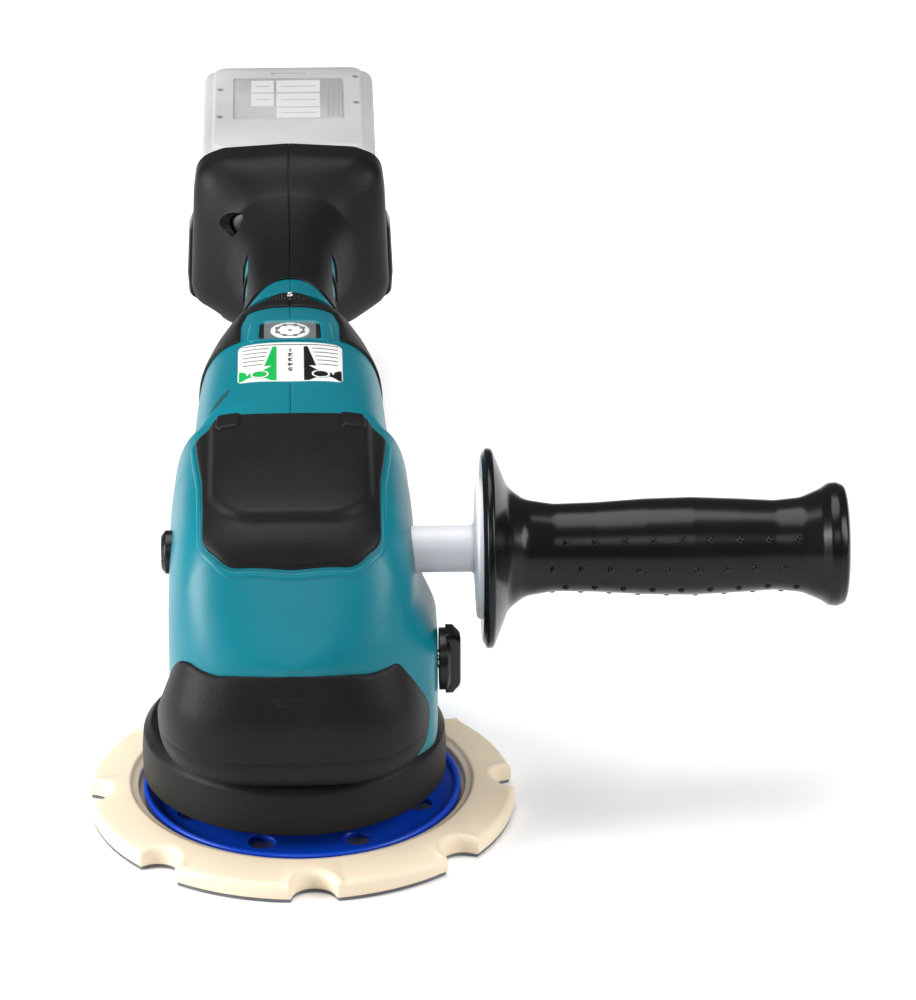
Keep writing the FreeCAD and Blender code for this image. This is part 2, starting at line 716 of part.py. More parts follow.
stator_tube = turned("stator_tube", [
    (22.5, rotor_start), (stator_radius, rotor_start), (stator_radius, rotor_start + rotor_length),
    (22.5, rotor_start + rotor_length),
], shaft_axis, "Y")
stator_teeth = around_shaft("stator_tooth", 6, (-3, rotor_start, 14.2),
                            (3, rotor_start + rotor_length, 23.5), 0)
keep(fuse("motor_stator", stator_tube, *stator_teeth))
coil_blocks = around_shaft("coil_block", 6, (-5, rotor_start - 5, 15.6),
                           (5, rotor_start + rotor_length + 5, 21.6), 0)
coil_cores = around_shaft("coil_core", 6, (-3, rotor_start, 14), (3, rotor_start + rotor_length, 24), 0)
keep(cut("stator_windings", group("coil_ring", coil_blocks), *coil_cores))

fan_hub = turned("fan_hub", [
    (shaft_radius - running_gap, 62), (9, 62), (9, 66), (24, 70), (24, 71.5), (9, 71.5),
    (shaft_radius - running_gap, 71.5),
], shaft_axis, "Y")
fan_blades = around_shaft("fan_blade", 12, (-0.7, 63.5, 8.5), (0.7, 70.6, 23.5), 8)
keep(fuse("cooling_fan", fan_hub, *fan_blades))
keep(turned("motor_end_cap", [
    (9.5, 139.5), (stator_radius, 134), (stator_radius, 138), (stator_radius, 148), (4, 148),
    (4, 146.5), (9.5, 146.5),
], shaft_axis, "Y"))

# ---------------------------------------------------------------- rear housing shells

STATIONS = [
    # name, y, half width, lowest z, highest z, corner radius
    ("joint", 56, 38.5, 62, 141, 16),
    ("label", 124, 37, 62, 141, 16),
    ("window", 152, 33, 66, 138.5, 16),
    ("slope", 190, 27, 74, 130, 14),
    ("dial_end", 215, 21.5, 79, 126, 12),
    ("grip_front", 240, 19, 81, 122, 12),
    ("grip_back", 290, 19, 81, 121, 12),
    ("throat", 315, 27, 74, 130, 13),
    ("flare_front", 330, 45, 60, 140, 12),
    ("flare_end", 342, 45, 60, 139, 12),
]
stations = []
for name, *sizes in STATIONS:
    labels = ("y", "half", "low", "high", "corner")
    stations.append([cell("%s_%s" % (name, part), size) for part, size in zip(labels, sizes)])


def rounded_section(y, half, low, high, corner):
    """A rectangle with round corners in the plane across the tool at y."""
    edges = []
    diagonal = corner * (1 - math.sqrt(0.5))
    for side in (1, -1):
        top = (half - corner) * side
        edges.append(Part.Arc(Vector(top, y, high), Vector(side * (half - diagonal), y, high - diagonal),
                              Vector(side * half, y, high - corner)).toShape())
        edges.append(Part.makeLine(Vector(side * half, y, high - corner),
                                   Vector(side * half, y, low + corner)))
        edges.append(Part.Arc(Vector(side * half, y, low + corner),
                              Vector(side * (half - diagonal), y, low + diagonal),
                              Vector(top, y, low)).toShape())
    edges.append(Part.makeLine(Vector(half - corner, y, high), Vector(corner - half, y, high)))
    edges.append(Part.makeLine(Vector(half - corner, y, low), Vector(corner - half, y, low)))
    return Part.Wire(Part.__sortEdges__(edges))


def body_loft(inset, front=0.0, back=0.0):
    """The rear body's solid, drawn in all round by inset; its ends shift by front and back."""
    wires = []
    for index, station in enumerate(stations):
        y, half, low, high, corner = [float(size) for size in station]
        if index == 0:
            y -= front
        if index == len(stations) - 1:
            y -= back
        wires.append(rounded_section(y, half - inset, low + inset, high - inset, corner - inset * 0.8))
    return Part.makeLoft(wires, True, True)


outer_body = body_loft(0)
skin_body = body_loft(float(rubber_skin))
inner_body = body_loft(float(rubber_skin) + float(shell_wall), 1.0, float(shell_wall))
grip_start = float(stations[4][0])
rubber_zone = Part.makeBox(120, 200, 200, Vector(-60, grip_start, 0))
shell_solid = outer_body.cut(rubber_zone).fuse(skin_body.common(rubber_zone)).cut(inner_body)
grip_solid = outer_body.common(rubber_zone).cut(skin_body)

SCREW_SPOTS = [(80, 70), (80, 133), (154, 76), (186, 84), (303, 101), (335, 70), (335, 129)]
towers = [Part.makeCylinder(4.5, 100, Vector(-50, y, z), Vector(1, 0, 0)) for y, z in SCREW_SPOTS]
tower_solid = towers[0].fuse(towers[1:]).common(skin_body)
shell_solid = shell_solid.fuse(tower_solid)

screw_holes = []
for y, z in SCREW_SPOTS:
    screw_holes.append(Part.makeCylinder(3.6, 60, Vector(-73, y, z), Vector(1, 0, 0)))
    screw_holes.append(Part.makeCylinder(1.85, 27, Vector(-14, y, z), Vector(1, 0, 0)))
window_hole = Part.makeBox(25, 23, 20, Vector(-12.5, 126.5, 132))
dial_slot = Part.makeBox(33.4, float(dial_width) + 1.2, 40,
                         Vector(-16.7, float(dial_y - dial_width / 2) - 0.6, 106))
trigger_slot = Part.makeBox(15.6, 66, 33, Vector(-7.8, 225, 60))
pin_bore = Part.makeCylinder(2, 26, Vector(-13, float(trigger_pin_y), float(trigger_pin_z)),
                             Vector(1, 0, 0))
lock_bore = Part.makeCylinder(4.8, 22, Vector(-30, float(lock_y), float(lock_z)), Vector(1, 0, 0))
pin_posts = [Part.makeBox(4, 9, 12, Vector(x, float(trigger_pin_y) - 4.5, 80)) for x in (8, -12)]
shell_solid = shell_solid.fuse([post.common(skin_body) for post in pin_posts])
openings = screw_holes + [window_hole, dial_slot, trigger_slot, pin_bore, lock_bore]
shell_solid = shell_solid.cut(openings)
grip_solid = grip_solid.cut(openings)
left_room = Part.makeBox(100, 400, 300, Vector(-100, 0, 0))
right_room = Part.makeBox(100, 400, 300, Vector(0, 0, 0))
keep(made("housing_shell_left", shell_solid.common(left_room)))
keep(made("housing_shell_right", shell_solid.common(right_room)))
keep(made("grip_cover_left", grip_solid.common(left_room)))
keep(made("grip_cover_right", grip_solid.common(right_room)))
shoulder_zone = Part.makeBox(120, 44, 60, Vector(-60, 130, 104))
shoulder_middle = Part.makeBox(38, 60, 200, Vector(-19, 120, 0))
keep(made("shoulder_pads", body_loft(-1.2).common(shoulder_zone).cut([outer_body, shoulder_middle])))

screws = []
for number, (y, z) in enumerate(SCREW_SPOTS):
    screws.append(turned("housing_screw_%d" % number, [
        (0, -17), (1.5, -17), (1.5, -18.6), (3.4, -18.6), (3.4, -14), (1.8, -14), (1.8, 12), (0, 12),
    ], (0, y, z), "X"))
keep(group("housing_screws", screws))

# ---------------------------------------------------------------- window and controls

bezel_block = box("bezel_block", (-12.5, 126.5, 133), (12.5, 149.5, 141.6))
bezel_hole = box("bezel_hole", (-9.5, 129, 135), (9.5, 147, 145))
keep(cut("window_bezel", bezel_block, bezel_hole))
keep(cylinder("mode_indicator", 7.5, 2, (0, 138, 135)))
keep(box("window_lens", (-9.5, 129, 139), (9.5, 147, 140.6)))

dial_low = dial_y - dial_width / 2
keep(turned("speed_dial", [
    (3.05, 0), (dial_radius - 0.6, 0), (dial_radius, 1), (dial_radius, dial_width - 1),
    (dial_radius - 0.6, dial_width), (3.05, dial_width),
], (0, dial_low, dial_z), "Y"))
pot_body = box("pot_body", (-8, dial_y + 5, dial_z - 20), (8, dial_y + 12, dial_z + 5))
pot_shaft = cylinder("pot_shaft", 3, dial_width + 2, (0, dial_y - 4.5, dial_z), "Y")
keep(fuse("speed_potentiometer", pot_body, pot_shaft))
keep(box("switch_body", (-11, 234, 96), (11, 272, 115)))
trigger_blank = prism("trigger_blank", "YZ_Plane", [
    (227, 74), (229, 72), (262, 73.5), (280, 76.5), (288.5, 80), (288.5, 87), (280, 87.5),
    (262, 84.5), (227, 84),
], 14)
trigger_eye = cylinder("trigger_eye", 2.08, 20, (-10, trigger_pin_y, trigger_pin_z), "X")
keep(cut("trigger", trigger_blank, trigger_eye))
keep(cylinder("trigger_pin", 2, 23, (-11.5, trigger_pin_y, trigger_pin_z), "X"))
spring_low = cell("spring_low", 84.8)
keep(turned("trigger_spring", [
    (2.4, 0), (3.4, 0), (3.4, 95.6 - spring_low), (2.4, 95.6 - spring_low),
], (0, 247, spring_low)))
keep(turned("lock_on_button", [(0, -24.5), (4.5, -24.5), (4.5, -17.6), (0, -17.6)],
            (0, lock_y, lock_z), "X"))
keep(box("controller", (-34, 330.5, 77), (34, 337, 123)))

# ---------------------------------------------------------------- battery dock and battery

dock_end = flare_back + dock_length
dock_pieces = [box("dock_floor", (-44, flare_back, dock_low), (44, dock_end, dock_low + 5))]
for side in (-1, 1):
    inner, outer = 39.4, 44
    lip = 20.6
    low_x, high_x = sorted((side * inner, side * outer))
    dock_pieces.append(box("dock_wall_%d" % side, (low_x, flare_back, dock_low),
                           (high_x, dock_end, dock_low + 10.6)))
    low_x, high_x = sorted((side * lip, side * (inner + 1)))
    dock_pieces.append(box("dock_lip_%d" % side, (low_x, flare_back + 18, dock_low + 8.3),
                           (high_x, dock_end, dock_low + 10.6)))
keep(fuse("battery_dock", *dock_pieces))
keep(box("terminal_block", (-15, flare_back, dock_low + 5), (15, flare_back + 15, 82)))


def battery_room(label, low, high):
    """The inside of the battery case between two heights."""
    return box(label, (-battery_half + 2.5, battery_front + 2.5, low),
               (battery_half - 2.5, battery_back - 2.5, high))


lower_case = box("lower_case", (-battery_half, battery_front, battery_low),
                 (battery_half, battery_back, battery_split))
foot_neck = box("foot_neck", (-20, battery_front + 18, battery_low - 3.2),
                (20, battery_back - 6, battery_low))
foot_flange = box("foot_flange", (-27, battery_front + 18, battery_low - 5.7),
                  (27, battery_back - 6, battery_low - 3))
socket_wall = box("socket_wall", (-19, battery_front, battery_low), (19, battery_front + 19, 86.5))
socket_room = box("socket_room", (-17, battery_front - 1, battery_low - 1),
                  (17, battery_front + 17, 84.5))
latch_room = box("latch_room", (-12.6, battery_back - 9, 76), (12.6, battery_back + 1, 93))
latch_wall = box("latch_wall", (-14.6, battery_back - 11, battery_low), (14.6, battery_back, 95))
keep(cut("battery_case_lower",
         fuse("lower_case_raw", cut("lower_case_shell", lower_case,
              battery_room("lower_room", battery_low + 2.5, battery_split + 1)),
              foot_neck, foot_flange, socket_wall, latch_wall),
         socket_room, latch_room))
upper_case = box("upper_case", (-battery_half, battery_front, battery_split),
                 (battery_half, battery_back, battery_high))
gauge_hole = box("gauge_hole", (-27, battery_back - 5, 106), (-17, battery_back + 1, 112))
keep(cut("battery_case_upper", upper_case,
         battery_room("upper_room", battery_split - 1, battery_high - 2.5), gauge_hole))
cells = []
for column in range(5):
    for row, height in enumerate((97.6, 117.6)):
        cells.append(cylinder("cell_%d_%d" % (column, row), 9, 65,
                              (-32.5, battery_front + 13 + column * 19, height), "X"))
keep(group("battery_cells", cells))
keep(box("battery_latch_button", (-12, battery_back - 8, 76.4), (12, battery_back - 0.6, 88)))
keep(box("charge_button", (-26.6, battery_back - 4, 106.4), (-17.4, battery_back + 0.6, 111.6)))

# ---------------------------------------------------------------- checks and export

doc.recompute()
for obj in doc.Objects:
    if "Invalid" in obj.State or "Error" in obj.State:
        raise RuntimeError("%s failed: %s" % (obj.Label, obj.State))
for obj in sub_parts:
    if obj.Shape.isNull() or not obj.Shape.isValid():
        raise RuntimeError(obj.Label + " has no valid shape")
os.makedirs("parts", exist_ok=True)
for obj in sub_parts:
    obj.Shape.exportStep("parts/%s.step" % obj.Label)
    print("%-24s solids %2d  volume %10.1f" % (obj.Label, len(obj.Shape.Solids), obj.Shape.Volume))
print(len(sub_parts), "sub-parts")
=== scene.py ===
import json
import math

import bmesh
import bpy
import numpy as np
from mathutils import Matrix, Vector


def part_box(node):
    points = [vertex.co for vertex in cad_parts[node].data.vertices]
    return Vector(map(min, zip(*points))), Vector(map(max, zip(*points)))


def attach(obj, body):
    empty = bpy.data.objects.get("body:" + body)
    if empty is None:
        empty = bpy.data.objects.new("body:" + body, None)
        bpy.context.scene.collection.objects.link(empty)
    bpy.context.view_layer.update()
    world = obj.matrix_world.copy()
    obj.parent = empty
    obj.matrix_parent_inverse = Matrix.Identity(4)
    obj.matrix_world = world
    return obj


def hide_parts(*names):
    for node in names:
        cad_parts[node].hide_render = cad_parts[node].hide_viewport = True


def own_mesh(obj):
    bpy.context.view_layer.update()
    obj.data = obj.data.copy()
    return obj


# Cordless dual action polisher. Sizes here are millimetres in the row's frame, turned into metres
# when a mesh is made: nose towards -Y, battery towards +Y, side handle towards +X, pad on Z = 0.
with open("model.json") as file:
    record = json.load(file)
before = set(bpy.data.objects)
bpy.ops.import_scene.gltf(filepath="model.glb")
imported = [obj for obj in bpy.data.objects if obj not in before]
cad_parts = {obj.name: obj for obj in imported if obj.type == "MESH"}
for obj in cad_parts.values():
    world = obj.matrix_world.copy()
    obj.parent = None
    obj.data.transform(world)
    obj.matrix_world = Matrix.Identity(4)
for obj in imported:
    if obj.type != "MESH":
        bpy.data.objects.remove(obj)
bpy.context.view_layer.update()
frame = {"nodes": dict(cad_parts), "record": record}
MM = 0.001


def cad_size(node):
    """Lowest and highest corner of a CAD node, in millimetres."""
    low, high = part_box(node)
    return np.array(low) / MM, np.array(high) / MM


# ------------------------------------------------------------------ materials

def new_material(name):
    """A node material, with its nodes and links."""
    material = bpy.data.materials.new(name)
    material.use_nodes = True
    return material, material.node_tree.nodes, material.node_tree.links


def moulded(name, colour, rough=0.45, grain=900.0, bump=0.12, mottling=0.10, rough_spread=0.10,
            speckle=0.0, metallic=0.0, specular=0.5):
    """Moulded plastic, rubber, foam or metal: fine grain, slight mottling and uneven gloss."""
    material, nodes, links = new_material(name)
    shader = nodes["Principled BSDF"]
    shader.inputs["Metallic"].default_value = metallic
    shader.inputs["Specular IOR Level"].default_value = specular
    where = nodes.new("ShaderNodeTexCoord")
    fine = nodes.new("ShaderNodeTexNoise")
    fine.inputs["Scale"].default_value = grain
    fine.inputs["Detail"].default_value = 4.0
    broad = nodes.new("ShaderNodeTexNoise")
    broad.inputs["Scale"].default_value = 22.0
    broad.inputs["Detail"].default_value = 5.0
    for texture in (fine, broad):
        links.new(where.outputs["Object"], texture.inputs["Vector"])
    tint = nodes.new("ShaderNodeValToRGB")
    dark = [part * (1.0 - mottling) for part in colour]
    light = [min(1.0, part * (1.0 + mottling)) for part in colour]
    tint.color_ramp.elements[0].position = 0.35
    tint.color_ramp.elements[1].position = 0.65
    tint.color_ramp.elements[0].color = (*dark, 1)
    tint.color_ramp.elements[1].color = (*light, 1)
    links.new(broad.outputs["Fac"], tint.inputs["Fac"])
    tone = tint.outputs["Color"]
    if speckle:
        dots = nodes.new("ShaderNodeValToRGB")
        dots.color_ramp.elements[0].position = 0.66
        dots.color_ramp.elements[1].position = 0.74
        links.new(fine.outputs["Fac"], dots.inputs["Fac"])
        mix = nodes.new("ShaderNodeMix")
        mix.data_type = "RGBA"
        scale = nodes.new("ShaderNodeMath")
        scale.operation = "MULTIPLY"
        scale.inputs[1].default_value = speckle
        links.new(dots.outputs["Color"], scale.inputs[0])
        links.new(scale.outputs[0], mix.inputs["Factor"])
        links.new(tone, mix.inputs["A"])
        mix.inputs["B"].default_value = (*[min(1.0, part * 2.0 + 0.05) for part in colour], 1)
        tone = mix.outputs["Result"]
    links.new(tone, shader.inputs["Base Color"])
    spread = nodes.new("ShaderNodeMapRange")
    spread.inputs["To Min"].default_value = max(0.02, rough - rough_spread)
    spread.inputs["To Max"].default_value = min(1.0, rough + rough_spread)
    links.new(broad.outputs["Fac"], spread.inputs["Value"])
    links.new(spread.outputs["Result"], shader.inputs["Roughness"])
    relief = nodes.new("ShaderNodeBump")
    relief.inputs["Strength"].default_value = bump
    relief.inputs["Distance"].default_value = 0.0004
    links.new(fine.outputs["Fac"], relief.inputs["Height"])
    links.new(relief.outputs["Normal"], shader.inputs["Normal"])
    return material


def clear_material(name, colour):
    """Clear moulded plastic, nearly invisible apart from its gloss."""
    material, nodes, _ = new_material(name)
    shader = nodes["Principled BSDF"]
    shader.inputs["Base Color"].default_value = (*colour, 1)
    shader.inputs["Roughness"].default_value = 0.08
    shader.inputs["Alpha"].default_value = 0.07
    shader.inputs["IOR"].default_value = 1.45
    return material


TEAL = moulded("teal_nylon", (0.0, 0.138, 0.180), rough=0.36, grain=1500, bump=0.10, mottling=0.05,
               specular=0.25)
# painted shade: a darker copy of the teal, for the shaded hollow of the housing's scoop
TEAL_PAINTED_SHADE = moulded("teal_shadow", (0.0, 0.045, 0.058), rough=0.6, grain=1500, bump=0.10, mottling=0.05)
RUBBER = moulded("black_elastomer", (0.006, 0.006, 0.0065), rough=0.46, grain=1300, bump=0.30,
                 mottling=0.2, speckle=0.06, specular=0.14)
BLACK = moulded("black_nylon", (0.006, 0.006, 0.0065), rough=0.32, grain=1400, bump=0.08, mottling=0.15,
                specular=0.25)
GLOSS_BLACK = moulded("handle_nylon", (0.0045, 0.0045, 0.0045), rough=0.22, grain=900, bump=0.05,
                      mottling=0.2, rough_spread=0.06, specular=0.2)
BLUE = moulded("blue_plate_plastic", (0.0, 0.05, 0.50), rough=0.33, grain=1200, bump=0.05, mottling=0.05)
CREAM = moulded("cream_polyurethane", (0.74, 0.62, 0.46), rough=0.48, grain=1100, bump=0.10, mottling=0.03)
HOOK = moulded("hook_fabric_grey", (0.13, 0.14, 0.16), rough=0.9, grain=1600, bump=0.9, mottling=0.2)
PALE = moulded("pale_tube_plastic", (0.80, 0.80, 0.84), rough=0.38, grain=1200, bump=0.04, mottling=0.02)
BATTERY = moulded("battery_plastic", (0.40, 0.40, 0.405), rough=0.5, grain=1300, bump=0.15, mottling=0.04,
                  specular=0.35)
BATTERY_DARK = moulded("battery_label_grey", (0.31, 0.31, 0.315), rough=0.45, grain=1300, bump=0.04,
                       specular=0.35)
BATTERY_PALE = moulded("battery_label_pale", (0.52, 0.52, 0.52), rough=0.4, grain=900, bump=0.02,
                       mottling=0.02)
WHITE = moulded("label_white", (0.70, 0.70, 0.69), rough=0.35, grain=700, bump=0.02, mottling=0.02)
GREEN = moulded("label_green", (0.0, 0.36, 0.06), rough=0.35, grain=700, bump=0.02, mottling=0.04)
INK = moulded("label_ink", (0.008, 0.008, 0.009), rough=0.5, grain=700, bump=0.02, mottling=0.1,
              specular=0.1)
METAL = moulded("machined_steel", (0.45, 0.45, 0.47), rough=0.28, grain=500, bump=0.05, metallic=1.0)
CASTING = moulded("cast_aluminium_raw", (0.55, 0.55, 0.57), rough=0.5, grain=700, bump=0.35, metallic=1.0)
COPPER = moulded("enamelled_copper", (0.60, 0.25, 0.08), rough=0.3, grain=400, bump=0.3, metallic=1.0)
CLEAR = clear_material("clear_window", (0.85, 0.92, 0.95))

SLOT_MATERIALS = {
    "teal_plastic": TEAL, "black_rubber": RUBBER, "black_plastic": BLACK, "handle_plastic": GLOSS_BLACK,
    "blue_plastic": BLUE, "cream_foam": CREAM, "hook_fabric": HOOK, "grey_plastic": PALE,
    "battery_grey": BATTERY, "white_plastic": WHITE, "clear_plastic": CLEAR, "cast_aluminium": CASTING,
    "steel": METAL, "copper": COPPER, "cell_can": GREEN,
}
PIECE_SLOTS = {material.name: slot for slot, material in SLOT_MATERIALS.items()}
PIECE_SLOTS.update({
    TEAL_PAINTED_SHADE.name: "teal_plastic", INK.name: "black_plastic", GREEN.name: "white_plastic",
    BATTERY_DARK.name: "battery_grey", BATTERY_PALE.name: "white_plastic",
})


def dress_cad_nodes():
    """Gives every carried-over CAD node the finish of its record slot."""
    for row in frame["record"]["subparts"]:
        node = frame["nodes"].get(row["node"])
        if node is None:
            continue
        material = SLOT_MATERIALS[row["material_slot"]]
        if not node.data.materials:
            node.data.materials.append(material)
        for index in range(len(node.material_slots)):
            node.material_slots[index].material = material


def squash_trigger_spring():
    """Gives the trigger's return spring a mesh of its own; its shape is left as it is."""
    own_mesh(frame["nodes"]["trigger_spring"])


# ------------------------------------------------------------------ mesh helpers

def piece(name, points, faces, material, body="tool_body", stands_for=(), slot=None):
    """A mesh piece from points in millimetres; slot is not used."""
    mesh = bpy.data.meshes.new(name)
    mesh.from_pydata([Vector(point) * MM for point in points], [], [list(face) for face in faces])
    mesh.materials.append(material)
    mesh.polygons.foreach_set("use_smooth", [True] * len(mesh.polygons))
    mesh.validate()
    mesh.update()
    obj = bpy.data.objects.new(name, mesh)
    bpy.context.scene.collection.objects.link(obj)
    tidy = bmesh.new()
    tidy.from_mesh(mesh)
    bmesh.ops.remove_doubles(tidy, verts=tidy.verts, dist=1e-6)
    bmesh.ops.recalc_face_normals(tidy, faces=tidy.faces)
    tidy.to_mesh(mesh)
    tidy.free()
    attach(obj, body)
    if stands_for:
        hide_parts(*stands_for)
    if slot is None:
        slot = PIECE_SLOTS[material.name]
    return obj


def keep_edges(obj, degrees=35):
    """Smooth shading that stays crisp across edges sharper than this angle."""
    mesh = obj.data
    limit = math.radians(degrees)
    work = bmesh.new()
    work.from_mesh(mesh)
    for edge in work.edges:
        if len(edge.link_faces) == 2 and edge.calc_face_angle() > limit:
            edge.smooth = False
    work.to_mesh(mesh)
    work.free()
    return obj


def apply_modifiers(obj):
    """Turns the piece's modifiers into its mesh."""
    graph = bpy.context.evaluated_depsgraph_get()
    graph.update()
    made = bpy.data.meshes.new_from_object(obj.evaluated_get(graph))
    obj.modifiers.clear()
    obj.data = made
    return obj


def cut_by(obj, cutter):
    """Takes a closed cutter's volume out of a closed piece."""
    modifier = obj.modifiers.new("cut", "BOOLEAN")
    modifier.operation = "DIFFERENCE"
    modifier.solver = "EXACT"
    modifier.object = cutter
    apply_modifiers(obj)
    mesh = cutter.data
    bpy.data.objects.remove(cutter)
    bpy.data.meshes.remove(mesh)
    return obj


def cutter(points, faces):
    """A closed volume for cut_by to take away, from points in millimetres."""
    mesh = bpy.data.meshes.new("cutter")
    mesh.from_pydata([Vector(point) * MM for point in points], [], [list(face) for face in faces])
    obj = bpy.data.objects.new("cutter", mesh)
    bpy.context.scene.collection.objects.link(obj)
    work = bmesh.new()
    work.from_mesh(mesh)
    bmesh.ops.recalc_face_normals(work, faces=work.faces)
    work.to_mesh(mesh)
    work.free()
    return obj


def strip_faces(rows, columns, closed=True):
    """Quads between successive rows of points; closed joins each row's end to its start."""
    faces = []
    span = columns if closed else columns - 1
    for row in range(rows - 1):
        for column in range(span):
            here = row * columns + column
            right = row * columns + (column + 1) % columns
            faces.append((here, right, right + columns, here + columns))
    return faces


def circle(radius, count):
    """Pairs of coordinates evenly spaced round a circle."""
    turns = np.linspace(0, 2 * math.pi, count, endpoint=False)
    return [(radius * math.cos(turn), radius * math.sin(turn)) for turn in turns]


def lofted(rings, cap_start=True, cap_end=True):
    """Points and faces through closed rings of equal length."""
    count = len(rings[0])
    points = [tuple(point) for ring in rings for point in ring]
    faces = strip_faces(len(rings), count)
    if cap_start:
        faces.append(tuple(range(count - 1, -1, -1)))
    if cap_end:
        last = (len(rings) - 1) * count
        faces.append(tuple(range(last, last + count)))
    return points, faces


def looped(rings):
    """Points and faces through rings whose last one joins the first."""
    return lofted(rings + [rings[0]], False, False)


def softened(corners, radii, steps=5, closed=False):
    """A 2-D outline with each corner rounded by its own radius."""
    count = len(corners)
    if not hasattr(radii, "__len__"):
        radii = [radii] * count
    result = []
    for index, (corner, radius) in enumerate(zip(corners, radii)):
        here = np.array(corner, float)
        if radius <= 0 or (not closed and index in (0, count - 1)):
            result.append(tuple(here))
            continue
        before = np.array(corners[index - 1], float) - here
        after = np.array(corners[(index + 1) % count], float) - here
        length_before = np.linalg.norm(before)
        length_after = np.linalg.norm(after)
        before /= length_before
        after /= length_after
        half = 0.5 * math.acos(max(-1.0, min(1.0, float(before @ after))))
        reach = min(radius / max(math.tan(half), 1e-4), 0.48 * length_before, 0.48 * length_after)
        start = here + before * reach
        end = here + after * reach
        for step in range(steps + 1):
            part = step / steps
            point = (1 - part) ** 2 * start + 2 * part * (1 - part) * here + part ** 2 * end
            result.append(tuple(point))
    return result


def mirrored(half, steps=5):
    """A closed outline from its right half, given as (x, y, corner radius), and its mirror image."""
    whole = half + [(-x, y, radius) for x, y, radius in reversed(half) if x]
    return softened([(x, y) for x, y, _ in whole], [radius for _, _, radius in whole], steps, closed=True)


def rounded_box(x0, y0, x1, y1, radius, steps=5):
    """A rectangle's outline with rounded corners."""
    return softened([(x0, y0), (x1, y0), (x1, y1), (x0, y1)], radius, steps, closed=True)


def turned(name, profile, material, centre=(0, 0, 0), axis="Z", segments=128, **rest):
    """A lathe-turned piece from (radius, distance along the axis) corners."""
    rings = []
    for radius, along in profile:
        ring = []
        for step in range(segments):
            turn = 2 * math.pi * step / segments
            a = radius * math.cos(turn)
            b = radius * math.sin(turn)
            point = {"Z": (a, b, along), "X": (along, a, b)}[axis]
            ring.append(tuple(np.array(point) + np.array(centre)))
        rings.append(ring)
    solid = profile[0][0] < 1e-3
    closed = profile[0] == profile[-1]
    points, faces = lofted(rings, not solid and not closed, not solid and not closed)
    return piece(name, points, faces, material, **rest)


def table_value(table, where):
    """Smooth values of a table's columns at places along its first column."""
    xs = np.array([row[0] for row in table], float)
    ys = np.array([row[1:] for row in table], float)
    where = np.clip(np.asarray(where, float), xs[0], xs[-1])
    steps = np.diff(xs)
    slopes = np.diff(ys, axis=0) / steps[:, None]
    tangents = np.zeros_like(ys)
    tangents[0] = slopes[0]
    tangents[-1] = slopes[-1]
    left, right = slopes[:-1], slopes[1:]
    same = left * right > 0
    tangents[1:-1] = np.where(same, 2 * left * right / np.where(same, left + right, 1), 0)
    index = np.clip(np.searchsorted(xs, where, side="right") - 1, 0, len(xs) - 2)
    width = steps[index][..., None]
    part = (where - xs[index])[..., None] / width
    return ((2 * part ** 3 - 3 * part ** 2 + 1) * ys[index]
            + (part ** 3 - 2 * part ** 2 + part) * width * tangents[index]
            + (3 * part ** 2 - 2 * part ** 3) * ys[index + 1]
            + (part ** 3 - part ** 2) * width * tangents[index + 1])


def smooth_step(value, low, high):
    """0 below low, 1 above high, and an even S between them."""
    part = np.clip((value - low) / (high - low), 0.0, 1.0)
    return part * part * (3 - 2 * part)


def normals_of(surface, u, v, step=0.3):
    """Outward unit normals of surface(u, v), for surfaces whose u x v points outwards."""
    across = surface(u + step, v) - surface(u - step, v)
    along = surface(u, v + step) - surface(u, v - step)
    normal = np.cross(across, along)
    return normal / np.maximum(np.linalg.norm(normal, axis=-1, keepdims=True), 1e-9)


def lifted(surface, u, v, height):
    """Points at a height above surface(u, v)."""
    u, v = np.asarray(u, float), np.asarray(v, float)
    return surface(u, v) + normals_of(surface, u, v) * np.asarray(height, float)[..., None]


def evened(outline, count):
    """A closed 2-D outline resampled to evenly spaced points."""
    loop = np.array(list(outline) + [outline[0]], float)
    along = np.concatenate([[0], np.cumsum(np.linalg.norm(np.diff(loop, axis=0), axis=1))])
    places = np.linspace(0, along[-1], count, endpoint=False)
    return np.stack([np.interp(places, along, loop[:, 0]), np.interp(places, along, loop[:, 1])], 1)


def inward_of(loop):
    """Unit directions pointing into a closed 2-D loop."""
    tangent = np.roll(loop, -1, 0) - np.roll(loop, 1, 0)
    inward = np.stack([-tangent[:, 1], tangent[:, 0]], 1)
    inward /= np.maximum(np.linalg.norm(inward, axis=1)[:, None], 1e-9)
    if ((loop.mean(0) - loop) * inward).sum() < 0:
        inward = -inward
    return inward


def laid_pad(name, outline, surface, profile, material, rings=14, under=1.2, crown=None, count=160, **rest):
    """A closed pad lying on surface(u, v). outline is a star-shaped loop of (u, v);
    profile lists (inset, height) from the rim inwards, and crown(u, v) adds height inside."""
    loop = evened(outline, count)
    centre = loop.mean(0)
    inward = inward_of(loop)
    levels = [(loop, -under)] + [(loop + inward * inset, height) for inset, height in profile]
    edge, top = levels[-1]
    levels += [(centre + (edge - centre) * (1 - ring / rings), top) for ring in range(1, rings)]
    levels.append((centre + (edge - centre) * 1e-3, top))
    under_levels = [(centre + (loop - centre) * (1 - ring / 5), -under) for ring in range(1, 5)]
    under_levels.append((centre + (loop - centre) * 1e-3, -under))
    rows = []
    for level, (ring_points, height) in enumerate(list(reversed(under_levels)) + levels):
        lift = np.full(len(ring_points), float(height))
        if crown is not None and level > len(under_levels):
            lift = lift + crown(ring_points[:, 0], ring_points[:, 1])
        rows.append(lifted(surface, ring_points[:, 0], ring_points[:, 1], lift))
    return piece(name, *lofted(rows), material, **rest)


